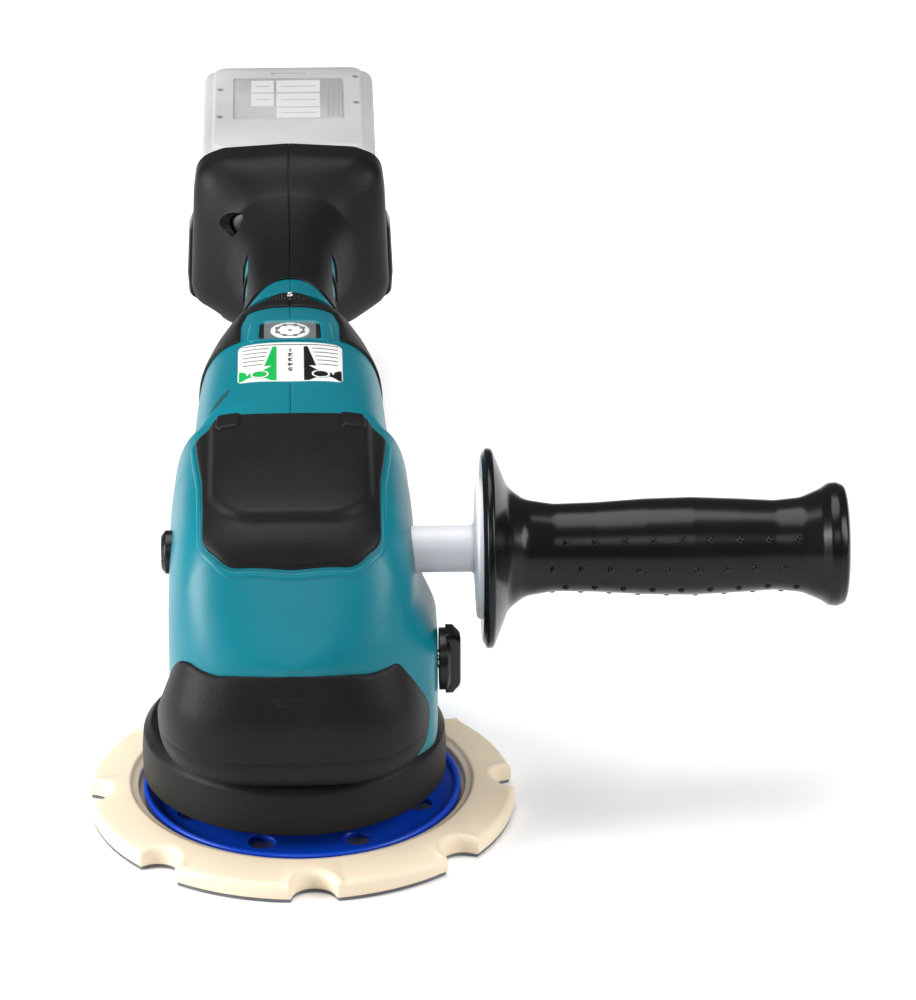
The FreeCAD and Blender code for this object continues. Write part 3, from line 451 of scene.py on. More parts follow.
def closed_skin(outer, inner):
    """Points and faces of a closed skin between two grids of points."""
    rows, count = outer.shape[:2]
    points = np.concatenate([outer.reshape(-1, 3), inner.reshape(-1, 3)])
    shift = rows * count
    faces = strip_faces(rows, count, closed=False)
    faces += [tuple(index + shift for index in reversed(face)) for face in faces]
    rim = list(range(count))
    rim += [row * count + count - 1 for row in range(1, rows)]
    rim += [(rows - 1) * count + column for column in range(count - 2, -1, -1)]
    rim += [row * count for row in range(rows - 2, 0, -1)]
    for here, there in zip(rim, rim[1:] + rim[:1]):
        faces.append((there, here, here + shift, there + shift))
    return points, faces


def shell_patch(name, surface, us, vs, height, material, thick=2.2, edge=0.7, **rest):
    """A closed skin over surface(u, v) on a grid of us and vs, with its rim rounded down."""
    us, vs = np.broadcast_arrays(np.asarray(us, float), np.asarray(vs, float))
    lift = np.full(us.shape, float(height))
    lift[0, :] -= edge
    lift[-1, :] -= edge
    lift[:, 0] = height - edge
    lift[:, -1] = height - edge
    outer = lifted(surface, us, vs, lift)
    inner = lifted(surface, us, vs, np.full(us.shape, float(height - thick)))
    return piece(name, *closed_skin(outer, inner), material, **rest)


def with_edges(values, edge=0.7):
    """Places with one more just inside each end, so that a rim can be rounded there."""
    values = np.asarray(values, float)
    way = np.sign(values[-1] - values[0])
    return np.concatenate([[values[0], values[0] + way * edge], values[1:-1],
                           [values[-1] - way * edge, values[-1]]])


# ------------------------------------------------------------------ driving sizes from the frame

PAD_TOP = cad_size("foam_pad")[1][2]
PAD_EDGE_TOP = PAD_TOP - 2.4
PAD_EDGE_INSET = 3.5
HOOK_TOP = cad_size("hook_face")[1][2]
PAD_RADIUS = 82.5
BORE_INSET = PAD_RADIUS - 11.5     # from the pad's rim to the bore in its middle
FLAT_INSET = 14.0                  # from the pad's rim to where its flat faces lose the notches
plate_low, plate_high = cad_size("backing_plate")
PAD_CENTRE = ((plate_low[0] + plate_high[0]) / 2, 0.0, 0.0)
PLATE_RADIUS = (plate_high[0] - plate_low[0]) / 2
PLATE_LOW = plate_low[2]
PLATE_HOLES = 8
PLATE_HOLE_CIRCLE = 47.5
PLATE_HOLE_START = -109            # degrees from +X
NOTCHES = 8
NOTCH_RADIUS = 8.4
NOTCH_START = -87.1                # degrees from +X
SKIRT_RADIUS = cad_size("rubber_skirt")[1][0]
tube_low, tube_high = cad_size("handle_tube")
HANDLE_Y = (tube_low[1] + tube_high[1]) / 2
HANDLE_Z = (tube_low[2] + tube_high[2]) / 2
HANDLE_FLANGE = tube_high[0] - 2
knob_low, knob_high = cad_size("mode_knob")
dial_low, dial_high = cad_size("speed_dial")
battery_low, _ = cad_size("battery_case_lower")
_, battery_high = cad_size("battery_case_upper")
dock_low, dock_high = cad_size("battery_dock")
FLARE_BACK = dock_low[1]

# ------------------------------------------------------------------ pad, backing plate, skirt


def notched_radius(turns, inset, corner=2.2):
    """Outline radii of the notched pad at angles, drawn in by an inset, corners rounded."""
    radius = PAD_RADIUS - inset
    pitch = 2 * math.pi / NOTCHES
    offset = (turns - math.radians(NOTCH_START) + pitch / 2) % pitch - pitch / 2
    reach = NOTCH_RADIUS + inset
    across = np.abs(PAD_RADIUS * np.sin(offset))
    inside = np.maximum(reach ** 2 - across ** 2, 0)
    cut = np.where(across < reach, PAD_RADIUS * np.cos(offset) - np.sqrt(inside),
                   PAD_RADIUS + 6.0 * (across - reach))
    blend = np.maximum(corner - np.abs(radius - cut), 0.0) / corner
    return np.minimum(radius, cut) - blend * blend * corner * 0.25


def pad_ring(inset, height, count=640, plain=False, taper=0.0):
    """One loop of the pad; taper adds the rise of the pad's conical top over that loop's edge."""
    turns = 2 * math.pi * np.arange(count) / count
    radius = PAD_RADIUS - inset if plain else notched_radius(turns, inset)
    edge = notched_radius(turns, PAD_EDGE_INSET)
    rise = (PAD_RADIUS - PAD_EDGE_INSET - edge) / (PAD_RADIUS - PAD_EDGE_INSET - PLATE_RADIUS - 6.0)
    return np.stack([PAD_CENTRE[0] + radius * np.cos(turns), radius * np.sin(turns),
                     height + taper * (PAD_TOP - PAD_EDGE_TOP) * np.clip(rise, 0, 1)], -1)


def build_pad():
    """Foam pad with rounded notches and a stepped recess, and the hook layer under it."""
    edge = 3.0
    rings = [pad_ring(BORE_INSET, HOOK_TOP + 0.05, plain=True),
             pad_ring(FLAT_INSET, HOOK_TOP + 0.05, plain=True), pad_ring(1.2, HOOK_TOP + 0.05),
             pad_ring(0.35, HOOK_TOP + 0.4), pad_ring(0, HOOK_TOP + 1.2),
             pad_ring(0, PAD_EDGE_TOP - edge, taper=1.0)]
    for step in range(1, 9):
        turn = math.pi / 2 * step / 8
        rings.append(pad_ring(edge * (1 - math.cos(turn)), PAD_EDGE_TOP - edge * (1 - math.sin(turn)),
                              taper=1.0))
    rings.append(pad_ring(PAD_EDGE_INSET, PAD_EDGE_TOP + 0.05, taper=1.0))
    rim = PAD_RADIUS - PLATE_RADIUS
    for inset, height in ((rim - 6.0, 0.0), (rim - 5.3, -0.02), (rim - 4.8, -0.25), (rim - 4.3, -0.9),
                          (rim - 3.9, -1.2), (rim - 2.4, -1.25), (rim - 1.9, -1.6), (rim - 1.7, -2.4)):
        rings.append(pad_ring(inset, PAD_TOP + height, plain=True))
    rings.append(pad_ring(rim - 1.7, PLATE_LOW - 0.05, plain=True))
    rings.append(pad_ring(BORE_INSET, PLATE_LOW - 0.05, plain=True))
    pad = piece("foam_pad_moulding", *looped(rings), CREAM, "pad", ["foam_pad"])
    rings = [pad_ring(BORE_INSET, 0.0, plain=True), pad_ring(FLAT_INSET, 0.0, plain=True), pad_ring(0.9, 0.0),
             pad_ring(0.6, 0.4), pad_ring(0.6, HOOK_TOP), pad_ring(FLAT_INSET, HOOK_TOP, plain=True),
             pad_ring(BORE_INSET, HOOK_TOP, plain=True)]
    keep_edges(piece("hook_face_layer", *looped(rings), HOOK, "pad", ["hook_face"]))


def build_plate():
    """Blue backing plate: a dish with a rolled rim, a hub and a ring of holes."""
    low = PLATE_LOW
    profile = softened([
        (11.2, low), (PLATE_RADIUS - 0.3, low), (PLATE_RADIUS, low + 4.3), (PLATE_RADIUS - 1.0, low + 4.9),
        (PLATE_RADIUS - 2.2, low + 4.5), (PLATE_RADIUS - 2.9, low + 1.9), (24, low + 1.8),
        (20.5, low + 9.5), (11.2, low + 9.5)],
        [0.2, 0.8, 0.8, 0.9, 0.8, 1.2, 1.5, 0.8, 0.2], closed=True)
    plate = turned("backing_plate_dish", profile + [profile[0]], BLUE, PAD_CENTRE, segments=192, body="pad",
                   stands_for=["backing_plate"])
    for hole in range(PLATE_HOLES):
        turn = math.radians(PLATE_HOLE_START + 360 / PLATE_HOLES * hole)
        centre = np.array([PAD_CENTRE[0] + PLATE_HOLE_CIRCLE * math.cos(turn),
                           PLATE_HOLE_CIRCLE * math.sin(turn), 0])
        rings = []
        for height, radius in ((low - 2, 4.9), (low + 1.2, 4.9), (low + 2.0, 5.5), (low + 3.2, 6.2)):
            rings.append([centre + np.array([a, b, height]) for a, b in circle(radius, 40)])
        cut_by(plate, cutter(*lofted(rings)))
    keep_edges(plate, 40)


def build_skirt():
    """Rubber skirt: an upright wall, a rounded shoulder and a lip that rolls in under the head."""
    low, high = cad_size("rubber_skirt")
    radius = SKIRT_RADIUS
    bottom, top = low[2], high[2] - 1
    profile = softened([
        (radius - 2.4, bottom), (radius, bottom), (radius + 0.15, bottom + 9), (radius - 0.3, top - 4),
        (radius - 3.6, top), (47, top + 0.6), (47, top - 1.2), (radius - 5.2, top - 2),
        (radius - 2.6, top - 5)],
        [0.5, 0.7, 6, 3, 2.5, 0.3, 0.3, 2, 2], closed=True)
    turned("rubber_skirt_moulding", profile + [profile[0]], RUBBER, segments=192,
           stands_for=["rubber_skirt"])


# ------------------------------------------------------------------ head cover and nose

HEAD_HALF = cad_size("nose_bumper")[1][0] - 3.5
HEAD_FRONT = 58.0
HEAD_CORNER = 3.1          # exponent of the plan outline: higher is squarer
BULGE_OUT = knob_low[0] - 0.4 - HEAD_HALF
HEAD_MIDDLE = 60.0         # height from which the arch over the head springs

# y, height of the top line, squareness of the arch, how far the top falls off sideways
HEAD_LINE = [
    (-60, 82.5, 3.3, 1.2), (-56, 90.0, 3.4, 1.2), (-50, 99.5, 3.5, 1.4), (-43, 110.5, 3.6, 1.6),
    (-37, 119.3, 3.7, 1.8), (-31, 126.0, 3.9, 1.8), (-22, 131.2, 4.1, 1.6), (-8, 134.6, 4.4, 1.4),
    (18, 137.6, 4.8, 1.4), (60, 138.8, 5.3, 1.8),
]


def head_half_at(y):
    """Half of the head's width at y, narrowing towards its front and a little towards its back."""
    ahead = np.maximum(1 - (np.maximum(-y, 0) / HEAD_FRONT) ** HEAD_CORNER, 1e-6) ** (1 / HEAD_CORNER)
    return HEAD_HALF * ahead - 1.2 * smooth_step(y, 30, 60)


def bulge_at(y, z):
    """How far the lever housing stands out of the head's right side."""
    along = smooth_step(y, -56, -28) * (1 - smooth_step(y, 16, 36))
    return BULGE_OUT * along * (1 - smooth_step(z, 74, 98))


def head_point(turn, y):
    """Points of the head's outer surface: turn is degrees from the top, towards +X."""
    turn, y = np.broadcast_arrays(np.asarray(turn, float), np.asarray(y, float))
    half = np.maximum(head_half_at(y), 0.3)
    top, power, fall = np.moveaxis(table_value(HEAD_LINE, y), -1, 0)
    side = np.sin(np.radians(turn))
    up = np.cos(np.radians(turn))
    reach = ((np.abs(side) / half) ** power + (np.abs(up) / (top - HEAD_MIDDLE)) ** power) ** (-1 / power)
    x = reach * side
    z = HEAD_MIDDLE + reach * up - fall * (x / HEAD_HALF) ** 2 * np.maximum(up, 0.0)
    bulge = bulge_at(y, z) * smooth_step(x, half * 0.42, half)
    return np.stack([x + np.where(x > 0, bulge, 0.0), y, z], -1)


def turn_at(surface, x, y):
    """The turn at which a rounded surface reaches x at y."""
    x, y = np.broadcast_arrays(np.asarray(x, float), np.asarray(y, float))
    low = np.full(x.shape, -89.5)
    high = np.full(x.shape, 89.5)
    for _ in range(22):
        middle = (low + high) / 2
        beyond = surface(middle, y)[..., 0] > x
        high = np.where(beyond, middle, high)
        low = np.where(beyond, low, middle)
    return (low + high) / 2


def head_top(x, y):
    """The head's top surface over plan positions."""
    return np.stack([x, y, head_point(turn_at(head_point, x, y), y)[..., 2]], -1)


def build_head():
    """Teal head cover: side walls, a sloping front and a lever housing on the right."""
    ys = np.concatenate([[-57.999, -57.97, -57.85, -57.6, -57.0, -56.2, -55.0], np.arange(-53.5, -20, 1.2),
                         np.arange(-20, 54, 2.0), [54.5, 55.6, 56]])
    turns = np.concatenate([np.linspace(-90, -30, 50), np.linspace(-29, 29, 45), np.linspace(30, 90, 50)])
    arch = head_point(turns[None, :], ys[:, None])
    heights = np.linspace(40.0, 57.5, 8)
    left = np.stack(np.broadcast_arrays(arch[:, :1, 0], ys[:, None], heights[None, :]), -1)
    out = np.maximum(head_half_at(ys), 0.3)[:, None] + bulge_at(ys[:, None], heights[None, ::-1])
    right = np.stack(np.broadcast_arrays(out, ys[:, None], heights[None, ::-1]), -1)
    outer = np.concatenate([left, arch, right], 1)
    outer[0, :, 0] = 0.0
    outer[-1] += (np.array([0, 56.0, 70.0]) - outer[-1]) * 0.008
    inner = outer * np.array([0.93, 1, 1])
    inner[..., 1] += np.where(outer[..., 1] < -20, 2.4, 0)
    inner[..., 2] -= np.where(outer[..., 2] > 60, 2.6, 0)
    piece("head_cover_moulding", *closed_skin(outer, inner), TEAL, stands_for=["head_cover"])


def nose_plan(turn, out):
    """Plan radii of the head's front at angles from straight ahead, moved out."""
    side = np.abs(np.sin(np.radians(turn)))
    ahead = np.abs(np.cos(np.radians(turn)))
    return ((side / (HEAD_HALF + out)) ** HEAD_CORNER
            + (ahead / (HEAD_FRONT + out)) ** HEAD_CORNER) ** (-1 / HEAD_CORNER)


NOSE_EDGE = [(0, 83.3), (12, 83.1), (22, 82.4), (29, 81.6), (35, 82.0), (41, 82.8), (46, 81.6), (52, 77.8),
             (60, 70.5), (70, 61.0), (80, 52.5), (90, 46.0), (100, 42.5), (112, 41.5)]
NOSE_LOW = 38.2
NOSE_HEIGHT = 44.5         # at the middle of its front, where the arrow is
# share of the bumper's height, how far it stands out of the head
NOSE_PROFILE = [
    (1.0, -1.4), (0.998, 0.2), (0.985, 0.65), (0.955, 1.2), (0.90, 2.1), (0.83, 3.3), (0.75, 4.6),
    (0.67, 5.85), (0.61, 6.6), (0.55, 6.95), (0.48, 7.05), (0.38, 6.95), (0.30, 6.8), (0.275, 6.75),
    (0.266, 6.5), (0.256, 6.7), (0.18, 6.3), (0.11, 5.6), (0.05, 4.3), (0.01, 2.6), (0.0, 1.0), (0.0, -3.5),
]


def nose_point(turn, share):
    """Points on the bumper: turn from straight ahead towards +X, share of its height there."""
    turn, share = np.broadcast_arrays(np.asarray(turn, float), np.asarray(share, float))
    shares = np.array([row[0] for row in NOSE_PROFILE[1:-1]])[::-1]
    outs = np.array([row[1] for row in NOSE_PROFILE[1:-1]])[::-1]
    out = np.interp(share, shares, outs)
    return nose_place(turn, share, out)


def nose_place(turn, share, out):
    """Points that stand out of the head by out, thinning towards the bumper's ends."""
    away = np.abs(turn)
    edge = table_value(NOSE_EDGE, away)[..., 0]
    z = NOSE_LOW + np.maximum(edge - NOSE_LOW, 2.5) * share
    taper = 1 - 0.32 * smooth_step(away, 30, 78) - 0.68 * smooth_step(away, 80, 104)
    radius = nose_plan(turn, np.where(out > 0, out * taper, out))
    x = radius * np.sin(np.radians(turn))
    y = -radius * np.cos(np.radians(turn))
    x = x + np.where(x > 0, bulge_at(y, z) * smooth_step(away, 40, 80) * 0.3, 0.0)
    return np.stack([x, y, z], -1)


def build_nose():
    """Rubber nose bumper wrapped round the front of the head, with an arrow moulded in."""
    turns = np.linspace(-104, 104, 190)
    profile = NOSE_PROFILE + [(0.2, -3.5), (0.8, -3.5)]
    shares = np.array([row[0] for row in profile])
    outs = np.array([row[1] for row in profile])
    rings = nose_place(turns[:, None], shares[None, :], outs[None, :])
    piece("nose_bumper_moulding", *lofted(rings), RUBBER, stands_for=["nose_bumper"])

    def on_nose(u, v):
        return nose_point(np.degrees(u / HEAD_FRONT), (v - NOSE_LOW) / NOSE_HEIGHT)
    arrow = [(-8.0, 75.2), (3.2, 75.6), (3.6, 77.2), (10.4, 72.6), (8.0, 71.9), (-5.0, 71.9), (-7.0, 73.6)]
    laid_pad("nose_arrow", arrow, on_nose, [(0.0, 0.05), (0.1, 0.2)], INK, rings=3, under=0.3, count=60,
             slot="black_rubber")


# plan outline of the top pad's right half: x, y, corner radius
TOP_HALF = [(24, 52.2, 3), (28.5, 51.4, 4), (36.6, 43.5, 5), (35.4, 25, 12), (33.8, 7, 12), (33.4, -14, 10),
            (33.4, -28, 11), (24, -36.6, 12), (0, -38.2, 60)]


def build_top_cover():
    """Black rubber pad on the head's top: a flat plateau with wide sloping margins."""
    outline = mirrored(TOP_HALF, 8)

    def plateau(x, y):
        reach = np.hypot(np.maximum(np.abs(x) - 12, 0), np.maximum(-5 - y, 0))
        return 2.4 * smooth_step(reach, 20.0, 15.5)

    laid_pad("top_cover_pad", outline, head_top,
             [(0.0, 0.2), (0.12, 0.7), (0.45, 1.15), (1.0, 1.35), (2.0, 1.45)], RUBBER, rings=40,
             crown=plateau, count=240, stands_for=["top_cover"])
    for side, name in ((-1, "left"), (1, "right")):
        tab = softened([(side * 18.5, 51.6), (side * 27.6, 51.6), (side * 28.2, 44.0), (side * 27.0, 39.5),
                        (side * 19.5, 39.5)], 2.0, closed=True)
        laid_pad("top_cover_tab_" + name, tab, head_top, [(0.0, 3.8), (0.25, 4.4), (0.8, 4.8), (1.6, 4.95)],
                 RUBBER, rings=6, under=-1.0, count=60)
    rim = evened(outline, 240)
    inward = inward_of(rim)
    rows = []
    for out, height in ((0.5, -0.5), (0.7, 0.15), (1.1, 0.45), (1.9, 0.45), (2.4, 0.1), (2.6, -0.5)):
        place = rim - inward * out
        place[:, 1] = np.minimum(place[:, 1], 52.3)
        rows.append(lifted(head_top, place[:, 0], place[:, 1], np.full(len(place), height)))
    piece("top_cover_rim", *looped(rows), TEAL)


# ------------------------------------------------------------------ rear body

# y, half width, bottom, top, squareness above, squareness below
BODY_LINE = [
    (50, 43.6, 62.0, 141.6, 2.9, 3.2), (59, 43.4, 62.0, 141.6, 2.9, 3.2), (66, 39.3, 62.0, 141.6, 3.6, 3.2),
    (90, 38.2, 62.0, 141.6, 3.5, 3.2), (124, 36.8, 62.5, 140.6, 3.3, 3.0),
    (150, 33.6, 65.5, 138.2, 3.0, 2.8), (175, 29.3, 70.5, 134.0, 2.7, 2.6),
    (200, 24.2, 76.0, 128.6, 2.5, 2.5), (220, 20.4, 79.6, 124.6, 2.4, 2.4),
    (245, 18.9, 81.0, 121.8, 2.4, 2.4), (275, 18.9, 81.0, 120.6, 2.4, 2.4),
    (295, 20.2, 80.0, 121.8, 2.4, 2.4), (312, 25.5, 75.5, 126.0, 2.5, 2.5),
    (325, 34.5, 68.0, 133.5, 3.0, 3.0), (333, 39.0, 62.5, 138.0, 3.6, 3.6),
    (342, 40.0, 60.5, 138.0, 3.8, 3.8),
]
# outline of the flare's right half: x, z, corner radius
FLARE_HALF = [(0, 138.9, 30), (28, 137.2, 8), (38.6, 133.0, 9), (40.2, 120.0, 6), (41.8, 78.0, 6),
              (39.5, 71.5, 5), (25.0, 61.0, 8)]
FLARE_OUTLINE = mirrored(FLARE_HALF)
BODY_AXIS = 100.0


def outline_reaches(outline, axis, turns):
    """Distances from the axis to a closed outline along rays at turns from the top."""
    loop = np.array(outline, float) - np.array([0, axis])
    start = loop[None, :, :]
    side = np.roll(loop, -1, 0)[None, :, :] - start
    ray = np.stack([np.sin(np.radians(turns)), np.cos(np.radians(turns))], 1)[:, None, :]
    cross = ray[..., 0] * side[..., 1] - ray[..., 1] * side[..., 0]
    cross = np.where(np.abs(cross) < 1e-9, 1e-9, cross)
    along = (start[..., 0] * side[..., 1] - start[..., 1] * side[..., 0]) / cross
    part = (start[..., 0] * ray[..., 1] - start[..., 1] * ray[..., 0]) / cross
    hit = (along > 0) & (part >= -1e-6) & (part <= 1 + 1e-6)
    return np.where(hit, along, 0).max(1)


FLARE_TURNS = np.arange(0, 360.5, 0.5)
FLARE_REACHES = outline_reaches(FLARE_OUTLINE, BODY_AXIS, FLARE_TURNS)


def body_point(turn, y):
    """Points of the rear body: turn is degrees from the top, towards +X."""
    turn, y = np.broadcast_arrays(np.asarray(turn, float), np.asarray(y, float))
    half, low, high, power_up, power_down = np.moveaxis(table_value(BODY_LINE, y), -1, 0)
    side = np.sin(np.radians(turn))
    up = np.cos(np.radians(turn))
    rise = np.where(up >= 0, high - BODY_AXIS, BODY_AXIS - low)
    power = np.where(up >= 0, power_up, power_down)
    reach = ((np.abs(side) / half) ** power + (np.abs(up) / rise) ** power) ** (-1 / power)
    flare = np.interp(turn % 360, FLARE_TURNS, FLARE_REACHES)
    share = smooth_step(y, 312, 333)
    reach = reach * (1 - share) + flare * share
    return np.stack([reach * side, y, BODY_AXIS + reach * up], -1)


def body_top(x, y):
    """The rear body's top surface over plan positions."""
    x, y = np.broadcast_arrays(np.asarray(x, float), np.asarray(y, float))
    return np.stack([x, y, body_point(turn_at(body_point, x, y), y)[..., 2]], -1)


def slab_cutter(low, high, radius):
    """A box cutter whose four upright edges are rounded."""
    (x0, y0, z0), (x1, y1, z1) = low, high
    plan = rounded_box(x0, y0, x1, y1, radius, 6)
    return cutter(*lofted([[(x, y, z) for x, y in plan] for z in (z0, z1)]))


def rod_cutter(start, end, radius, count=32):
    """A round cutter along X between two x positions at (y, z)."""
    (x0, y, z), x1 = start, end
    return cutter(*lofted([[(x, y + a, z + b) for a, b in circle(radius, count)] for x in (x0, x1)]))


SEAM = 0.12                # degrees each side of the centre line


def shell_rows(starts, ends, count):
    """Rows of y from the starts to the ends of each column, close together at both ends."""
    shares = np.concatenate([[0.0, 0.006], np.linspace(0, 1, count)[1:-1], [0.994, 1.0]])
    return starts + (ends - starts) * shares[:, None]


def side_turns(side, start, end, count, edge=0.8):
    """Turns on one side of the tool, in the order that keeps a patch's outside outwards."""
    turns = side * with_edges(np.linspace(start, end, count), edge)
    return turns if side > 0 else turns[::-1]


def build_housing():
    """Teal clamshell halves with the window and dial openings, and a dark lining behind them."""
    dial_middle = (dial_low[1] + dial_high[1]) / 2
    for side, name in ((-1, "left"), (1, "right")):
        turns = side_turns(side, SEAM, 179.7, 80, 0.5)[None, :]
        shell = shell_patch("housing_%s_moulding" % name, body_point, turns, shell_rows(52.5, 300.0, 140),
                            0.0, TEAL, thick=2.6, edge=0.2, stands_for=["housing_shell_" + name])
        cut_by(shell, slab_cutter((-12.6, 127.2, 125), (12.6, 150.0, 150), 3.0))
        cut_by(shell, slab_cutter((-17.0, dial_middle - 4.8, 112), (17.0, dial_middle + 4.8, 150), 1.0))
        keep_edges(shell, 40)
        turns = side_turns(side, 0.0, 180.0, 40)[None, :]
        shell_patch("flare_lining_" + name, body_point, turns, shell_rows(292.0, FLARE_BACK - 0.8, 30), -3.0,
                    BLACK, thick=1.6, edge=0.0)
    for name, middle in (("top", 0.0), ("bottom", 180.0)):
        turns = middle + np.linspace(-3, 3, 5)[None, :]
        for place, start, end, lift in (("front", 56.0, 125.0, -0.9), ("dial", 206.0, 231.0, -0.9),
                                        ("grip", 230.0, FLARE_BACK - 0.3, 0.35)):
            shell_patch("seam_tongue_%s_%s" % (place, name), body_point, turns, shell_rows(start, end, 50),
                        lift, BLACK, thick=1.4, edge=0.0)
    # painted shade: the scoop is a thin darker teal patch laid on the surface for the shade in its hollow,
    # not a recess
    scoop = [(-32.0, 66.5), (-30.2, 71.5), (-27.6, 76.5), (-24.2, 81.0), (-23.4, 80.2), (-25.0, 75.0),
             (-28.0, 69.5)]
    laid_pad("housing_scoop_painted_shade", scoop, body_top, [(0.0, 0.03), (0.1, 0.06)], TEAL_PAINTED_SHADE, rings=4, under=0.3,
             count=60)
    back = [(x * 0.95, (z - BODY_AXIS) * 0.95 + BODY_AXIS) for x, z in FLARE_OUTLINE]
    rings = [[(x, y, z) for x, z in back] for y in (FLARE_BACK - 3.2, FLARE_BACK - 0.4)]
    keep_edges(piece("flare_back_wall", *lofted(rings), BLACK))


def arch_line(turn):
    """Front edge of the grip's rubber: furthest back on the top, swept forward at the sides."""
    return 229.0 - 30.0 * smooth_step(np.abs(turn), 0, 78) ** 1.2


GRIP_WINDOWS = ((180, 236), (239, 262), (265, 284))   # where the teal shell shows, along y
GRIP_WINDOW_LOW = 98.5
GRIP_WINDOW_HIGH = 112


def build_grip():
    """Black rubber overmould of the grip and the flare, one piece on each shell half."""
    for side, name in ((-1, "left"), (1, "right")):
        turns = side_turns(side, SEAM, 179.7, 96)[None, :]
        cover = shell_patch("grip_cover_%s_moulding" % name, body_point, turns,
                            shell_rows(arch_line(turns), FLARE_BACK - 0.4, 120), 1.0, RUBBER, thick=2.4,
                            edge=0.3, stands_for=["grip_cover_" + name])
        reach = sorted((side * 10.0, side * 45.0))
        for start, end in GRIP_WINDOWS:
            cut_by(cover, slab_cutter((reach[0], start, GRIP_WINDOW_LOW), (reach[1], end, GRIP_WINDOW_HIGH),
                                      1.2))
        if side < 0:
            cut_by(cover, rod_cutter((-60, 311.5, 114.5), -17.5, 5.0))
            cut_by(cover, rod_cutter((-70, 330.0, 68.0), -27.0, 4.6))
        keep_edges(cover, 45)


def build_collar():
    """Black rubber collar: a band ahead of the dial that widens into two shoulder panels."""
    for side, name in ((-1, "left"), (1, "right")):
        turns = side_turns(side, SEAM, 118, 60)[None, :]
        ys = with_edges(np.linspace(174.5, 187.0, 10), 0.6)[:, None]
        shell_patch("collar_band_" + name, body_point, turns, ys, 1.1, RUBBER, thick=2.0, edge=0.6)
        ys = with_edges(np.linspace(129.0, 176.0, 40), 0.6)
        inner = turn_at(body_point, 19.8 - 2.2 * smooth_step(ys, 150, 176), ys)
        shares = np.linspace(0, 1, 42)
        turns = inner[:, None] + (116.0 - inner[:, None]) * shares[None, :]
        turns = turns * side if side > 0 else turns[:, ::-1] * side
        ys = ys[:, None] + 15.0 * shares[None, :] ** 2 * (176.0 - ys[:, None]) / 47.0
        if side < 0:
            ys = ys[:, ::-1]
        shell_patch("shoulder_panel_" + name, body_point, turns, ys, 1.1, RUBBER, thick=2.0, edge=0.6,
                    stands_for=["shoulder_pads"] if side > 0 else ())


def ring_pad(name, outer, inner, surface, height, material, depth=5.0, **rest):
    """A raised frame between two loops of equal length lying on surface(u, v)."""
    outer = evened(outer, 120)
    inner = evened(inner, 120)
    levels = [(0.0, -1.0), (0.0, height - 0.5), (0.08, height - 0.12), (0.2, height), (0.8, height),
              (0.92, height - 0.12), (1.0, height - 0.5), (1.0, -depth)]
    rows = []
    for share, lift in levels:
        place = outer + (inner - outer) * share
        rows.append(surface(place[:, 0], place[:, 1]) + np.array([0, 0, lift]))
    return piece(name, *looped(rows), material, **rest)


def rounded_plate(name, low, high, radius, material, bevel=0.4, **rest):
    """A flat plate with rounded corners and a softened top edge."""
    (x0, y0, z0), (x1, y1, z1) = low, high
    rings = []
    for inset, z in ((0, z0), (0, z1 - bevel), (bevel * 0.3, z1 - bevel * 0.3), (bevel, z1)):
        plan = rounded_box(x0 + inset, y0 + inset, x1 - inset, y1 - inset, radius)
        rings.append([(x, y, z) for x, y in plan])
    return keep_edges(piece(name, *lofted(rings), material, **rest), 60)


def window_outline(front_half, front, back_half, back, radius):
    """A loop round the window, a little narrower at its back."""
    return softened([(-front_half, front), (front_half, front), (back_half, back), (-back_half, back)],
                    radius, 8, closed=True)


def build_window():
    """Mode window: a teal frame, a black well, a printed disc and a clear lens."""
    outer = window_outline(17.4, 125.4, 16.2, 154.0, 4.5)
    inner = window_outline(12.5, 127.4, 12.0, 149.8, 3.0)
    ring_pad("window_frame", outer, inner, body_top, 0.7, TEAL, 3.0)
    wall_out = window_outline(12.4, 127.5, 11.9, 149.7, 3.0)
    wall_in = window_outline(10.6, 128.6, 10.0, 147.6, 2.2)
    ring_pad("window_bezel_moulding", wall_out, wall_in, body_top, -0.2, BLACK, stands_for=["window_bezel"])
    rounded_plate("window_floor", (-11.5, 128, 135.2), (11.5, 149, 138.2), 2.0, BLACK)
    centre = (0, 140.2, 0)
    base = 138.1
    disc = [(0, base), (7.8, base), (7.8, base + 0.5), (7.6, base + 0.7), (0, base + 0.7)]
    turned("mode_indicator_disc", disc, WHITE, centre, segments=64, stands_for=["mode_indicator"])
    face = base + 0.6
    ring = [(5.1, face), (5.8, face), (5.8, face + 0.2), (5.1, face + 0.2), (5.1, face)]
    turned("mode_indicator_ring", ring, INK, centre, segments=64)
    dot = [(0, face), (1.0, face), (1.0, face + 0.25), (0, face + 0.25)]
    for number in range(8):
        turn = math.radians(22.5 + 45 * number)
        spot = (5.5 * math.cos(turn), centre[1] + 5.5 * math.sin(turn), 0)
        turned("mode_indicator_dot_%d" % number, dot, INK, spot, segments=20)
    hub = [(0, face), (0.8, face), (0.8, face + 0.2), (0, face + 0.2)]
    turned("mode_indicator_hub", hub, INK, centre, segments=20)
    rounded_plate("window_lens_plate", (-10.4, 128.8, 139.3), (10.4, 147.4, 139.7), 2.0, CLEAR, 0.1,
                  stands_for=["window_lens"])


def flat_marking(name, shapes, lift, material, surface=body_top, **rest):
    """Thin printed shapes on a surface: each shape is a convex (u, v) outline."""
    points = []
    faces = []
    for shape in shapes:
        place = np.array(list(shape) + [np.mean(np.array(shape, float), 0)], float)
        base = surface(place[:, 0], place[:, 1])
        count = len(shape)
        start = len(points)
        points += list(base + np.array([0, 0, lift - 0.25])) + list(base + np.array([0, 0, lift]))
        over = start + count + 1
        for step in range(count):
            right = (step + 1) % count
            faces.append((start + step, start + right, over + right, over + step))
            faces.append((over + step, over + right, over + count))
            faces.append((start + right, start + step, start + count))
    return keep_edges(piece(name, points, faces, material, **rest), 30)


